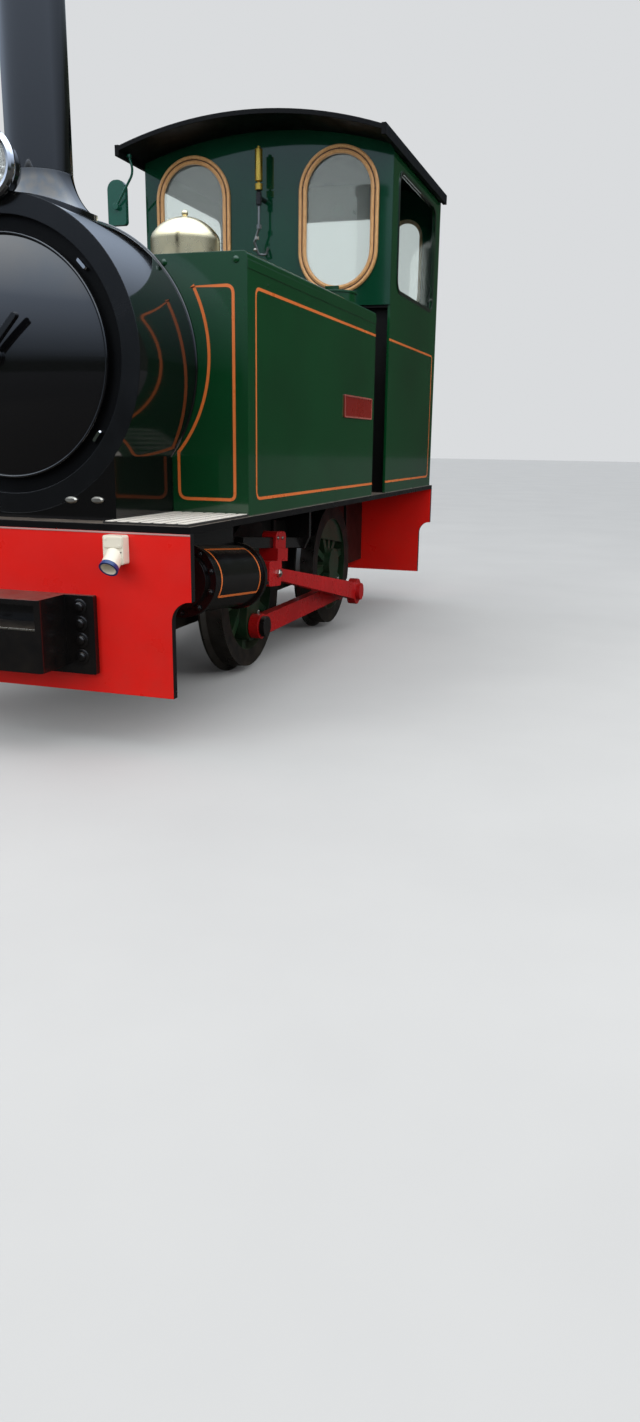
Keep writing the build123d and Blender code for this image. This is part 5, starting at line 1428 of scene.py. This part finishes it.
@dataclass
class RunningGear(Assembly):
    """Wheels, rods, crossheads, cylinders, springs and brakes."""

    slope: float = 0.086
    crank: float = 0.130
    crank_angle: float = -98.0
    rod_x: float = 0.405
    boss_radius: float = 0.051
    cork_sink: float = 0.001
    cylinder_x: float = 0.495
    cylinder_front: float = -1.441
    cylinder_rear: float = -0.993
    cylinder_radius: float = 0.108
    line_angles: Pair = (25.0, 118.0)
    line_ends: Pair = (0.068, 0.402)
    nut_ring: float = 0.1035
    nut_count: int = 10
    nut_turn: float = 18.0
    cheek_x: float = 0.534
    slider_x: float = 0.524
    slider_bolts: tuple[Pair, ...] = ((0.070, 0.075), (0.020, 0.075), (0.070, 0.135),
                                      (0.020, 0.135))
    left_pin: Pair = (-0.67159, 0.42706)
    right_pin: Pair = (-0.54214, 0.41592)

    def cylinder_axis(self) -> tuple[Array, Array]:
        """Works out the left cylinder's axis from its slope.

        Returns:
            A point on the axis at the cylinder's front, and the axis rearwards.
        """
        height = AXLE_Z + (AXLE_Y - self.cylinder_front) * self.slope
        axis = np.array((0.0, 1.0, -self.slope)) / sqrt(1 + self.slope ** 2)
        return np.array((self.cylinder_x, self.cylinder_front, height)), axis

    def cylinder_trim(self) -> None:
        """Draws each cylinder's panel line and sets the nuts of its front and rear flanges.

        Nut k of n stands at ring radius * (cos t * X + sin t * X x axis), t = 360 k / n + turn.
        """
        start, axis = self.cylinder_axis()
        drum = RoundSide(tuple(start), tuple(axis), self.cylinder_radius)
        arcs = tuple(radians(angle) * self.cylinder_radius for angle in self.line_angles)
        outline = rounded(box_outline(arcs, self.line_ends), radius=0.006)
        line = strip(outline, width=0.008, height=PAINT_HEIGHT, surface=drum, step=0.006)
        self.piece("cylinder_lining", line.mirrored(), "lining_orange")
        turn = np.radians(np.arange(self.nut_count) * 360 / self.nut_count + self.nut_turn)[:, None]
        spokes = np.cos(turn) * np.array(LEFT, float) + np.sin(turn) * np.cross(LEFT, axis)
        ring = start + self.nut_ring * spokes
        length = (self.cylinder_rear - self.cylinder_front) * sqrt(1 + self.slope ** 2)
        nut = hex_nut(radius=0.010, height=0.009, stud=0.005)
        nuts = joined(nut.placed(ring, -axis), nut.placed(ring + axis * length, axis))
        self.piece("cylinder_nuts", nuts.mirrored(), "oily_black")

    def rod_trim(self) -> None:
        """Adds the oil corks on the coupling rods, and the crosshead pins' nuts and bolts."""
        sides = (("left", 1.0, self.crank_angle, self.left_pin),
                 ("right", -1.0, self.crank_angle + 90.0, self.right_pin))
        for side, sign, angle, (pin_y, pin_z) in sides:
            y = np.array((-AXLE_Y, AXLE_Y)) + self.crank * cos(radians(angle))
            z = AXLE_Z + self.crank * sin(radians(angle)) + self.boss_radius
            corks = fastener(Head.CORK, radius=0.009, segments=12)
            corks = corks.placed(rows(sign * self.rod_x, y, z - self.cork_sink), UP)
            self.piece(side + "_rod_corks", corks, "worn_pale", side + "_rod")
            nut = hex_nut(radius=0.017, height=0.010, stud=0.005)
            nut = nut.placed((sign * self.cheek_x, pin_y, pin_z), (sign, 0, 0))
            along, up = np.array(self.slider_bolts).T
            places = rows(sign * self.slider_x, pin_y + along, pin_z + up - self.slope * along)
            bolts = fastener(Head.DOME, radius=0.008, segments=12).placed(places, (sign, 0, 0))
            self.piece(side + "_crosshead_nuts", joined(nut, bolts), "worn_pale", side + "_slider")

    def dress(self) -> None:
        """Builds the running gear's pieces and paints its nodes."""
        self.paint("front_wheel_parts", "front_wheelset")
        self.paint("rear_wheel_parts", "rear_wheelset")
        for side in ("left", "right"):
            self.paint("rod_red", side + "_coupling_rod", side + "_connecting_rod")
            self.paint(side + "_slide_parts", side + "_crosshead")
        self.paint("oily_black", "cylinders", "slide_bars")
        self.paint("frame_black", "axleboxes_and_springs", "brake_gear", "ashpan")
        self.cylinder_trim()
        self.rod_trim()


@dataclass
class Studio:
    """Pale floor, soft lights, a world that only reflections see as a sky, and the camera.

    Colours are in linear light. The floor is pale to the camera, mid-grey to the light and
    dark to reflections.
    """

    camera_place: Vector = (1.8748, -4.2737, 0.922)
    yaw: float = 17.894
    pitch: float = 15.27
    roll: float = 0.778
    focal_pixels: float = 985.47
    image_height: int = 1422
    sensor: float = 36.0
    clip: Pair = (0.02, 100.0)
    aim: Vector = (0.0, -0.2, 0.9)
    floor_reach: float = 60.0
    floor_pale: tuple[Colour, Colour] = ((0.50, 0.50, 0.495), (0.47, 0.47, 0.467))
    floor_lit: Colour = (0.16, 0.15, 0.14)
    floor_mirrored: Colour = (0.03, 0.028, 0.025)
    backdrop: Colour = (0.70, 0.715, 0.73)
    daylight: Colour = (0.95, 0.975, 1.0)
    world_light: float = 1.15
    sky_light: float = 2.6
    rear_dimming: float = 0.28
    dark_horizon: Colour = (0.011, 0.014, 0.011)
    low_sky: Colour = (0.10, 0.12, 0.15)
    middle_sky: Colour = (0.32, 0.38, 0.48)
    high_sky: tuple[Colour, Colour] = ((0.70, 0.83, 1.0), (0.90, 0.95, 1.0))
    low_heights: Pair = (0.04, 0.13)
    middle_heights: Pair = (0.14, 0.44)
    high_heights: Pair = (0.40, 0.66)
    cloud_scale: float = 2.6
    cloud_cover: Pair = (0.38, 0.62)

    def floor(self) -> None:
        """Lays a wide floor under the wheels, pale to the camera and dark to reflections."""
        mesh = bpy.data.meshes.new("studio_floor")
        size = self.floor_reach
        corners = [(x, y, 0.0) for x, y in box_outline((-size, size), (-size, size)).tolist()]
        mesh.from_pydata(corners, [], [(0, 1, 2, 3)])
        material = bpy.data.materials.new("floor_paint")
        g = Graph(material, "ShaderNodeOutputMaterial")
        path = g.add("ShaderNodeLightPath").outputs
        seen = g.calc("MAXIMUM", path["Is Camera Ray"], path["Is Transmission Ray"])
        pale = g.mix(g.spread(g.noise(1.2, 4.0), 0.3, 0.7), *self.floor_pale)
        dim = g.mix(path["Is Glossy Ray"], self.floor_lit, self.floor_mirrored)
        colour = g.mix(seen, dim, pale)
        g.feed(g.surface, g.principled(colour, roughness=0.9, Specular_IOR_Level=0.1))
        mesh.materials.append(material)
        plane = in_scene("studio_floor", mesh)

    def world(self) -> None:
        """Sets even light and a pale backdrop; reflections show a bright sky over a dark horizon.

        The reflected sky goes by z - dimming * max(y, 0), so it is darker towards the rear.
        """
        world = bpy.data.worlds.new("studio_world")
        bpy.context.scene.world = world
        g = Graph(world, "ShaderNodeOutputWorld")
        path = g.add("ShaderNodeLightPath").outputs
        seen = g.calc("MAXIMUM", path["Is Camera Ray"], path["Is Transmission Ray"])
        way = g.add("ShaderNodeTexCoord").outputs["Generated"]
        rearwards = g.calc("MAXIMUM", g.part(way, "Y"), 0.0)
        dimmed = g.calc("MULTIPLY", rearwards, self.rear_dimming)
        height = g.calc("SUBTRACT", g.part(way, "Z"), dimmed)
        horizon = g.mix(g.spread(height, *self.low_heights), self.dark_horizon, self.low_sky)
        haze = g.mix(g.spread(height, *self.middle_heights), horizon, self.middle_sky)
        pattern = {"Vector": way, "Scale": self.cloud_scale, "Detail": 4.0}
        clouds = g.run("ShaderNodeTexNoise", pattern, "Fac")
        zenith = g.mix(g.spread(clouds, *self.cloud_cover), *self.high_sky)
        sky = g.mix(g.spread(height, *self.high_heights), haze, zenith)
        light, mirror, plain = (
            g.run("ShaderNodeBackground", {"Color": colour, "Strength": strength})
            for colour, strength in ((self.daylight, self.world_light), (sky, self.sky_light),
                                     (self.backdrop, 1.0)))
        lit = g.run("ShaderNodeMixShader", {0: path["Is Glossy Ray"], 1: light, 2: mirror})
        g.feed(g.surface, g.run("ShaderNodeMixShader", {0: seen, 1: lit, 2: plain}))

    def lamp(self, name: str, place: Vector, size: Pair, power: float) -> None:
        """Hangs one soft rectangular lamp that faces the engine and shows in no reflection.

        Args:
            name: The lamp's name.
            place: Where it hangs.
            size: Its width and height.
            power: Its power in watts.
        """
        data = bpy.data.lights.new(name, "AREA")
        data.shape = "RECTANGLE"
        data.size, data.size_y = size
        data.energy = power
        lamp = in_scene(name, data)
        back = unit(np.subtract(place, self.aim)[None])[0]
        right = unit(np.cross(UP, back)[None])[0]
        stand(lamp, right, np.cross(back, right), back, place)
        lamp.visible_glossy = False

    def camera(self) -> None:
        """Sets the camera where the photograph was taken from, with its slight roll.

        Forward is (-sin a cos b, cos a cos b, -sin b) for yaw a and pitch b; right and up are
        then turned about it by the roll. The lens is sensor * focal length / image height.
        """
        a, b, r = (radians(angle) for angle in (self.yaw, self.pitch, self.roll))
        forward = np.array((-sin(a) * cos(b), cos(a) * cos(b), -sin(b)))
        right = np.array((cos(a), sin(a), 0.0))
        up = np.cross(right, forward)
        right, up = cos(r) * right + sin(r) * up, -sin(r) * right + cos(r) * up
        data = bpy.data.cameras.new("photo_camera")
        data.sensor_width = self.sensor
        data.sensor_fit = "AUTO"
        data.lens = self.sensor * self.focal_pixels / self.image_height
        data.clip_start, data.clip_end = self.clip
        camera = in_scene("photo_camera", data)
        stand(camera, right, up, -forward, self.camera_place)
        bpy.context.scene.camera = camera

    def build(self) -> None:
        """Builds the whole studio."""
        self.floor()
        self.world()
        self.lamp("top_softbox", place=(1.0, -1.0, 5.6), size=(5.0, 6.5), power=110.0)
        self.lamp("front_softbox", place=(-2.6, -6.0, 3.2), size=(3.0, 3.0), power=90.0)
        self.lamp("side_softbox", place=(5.5, -2.2, 3.0), size=(3.2, 3.2), power=80.0)
        self.camera()
        bpy.context.scene.view_settings.view_transform = "Standard"


def main() -> None:
    """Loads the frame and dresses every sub-assembly."""
    logging.basicConfig(level=logging.INFO, format="%(name)s %(message)s")
    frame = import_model()
    Studio().build()
    finishes = Finishes()
    for part in (FrontEnd, BoilerLine, Tanks, Cab, RunningGear):
        log.info("building %s", part.__name__)
        part(finishes, frame).dress()


if __name__ == "__main__":
    main()
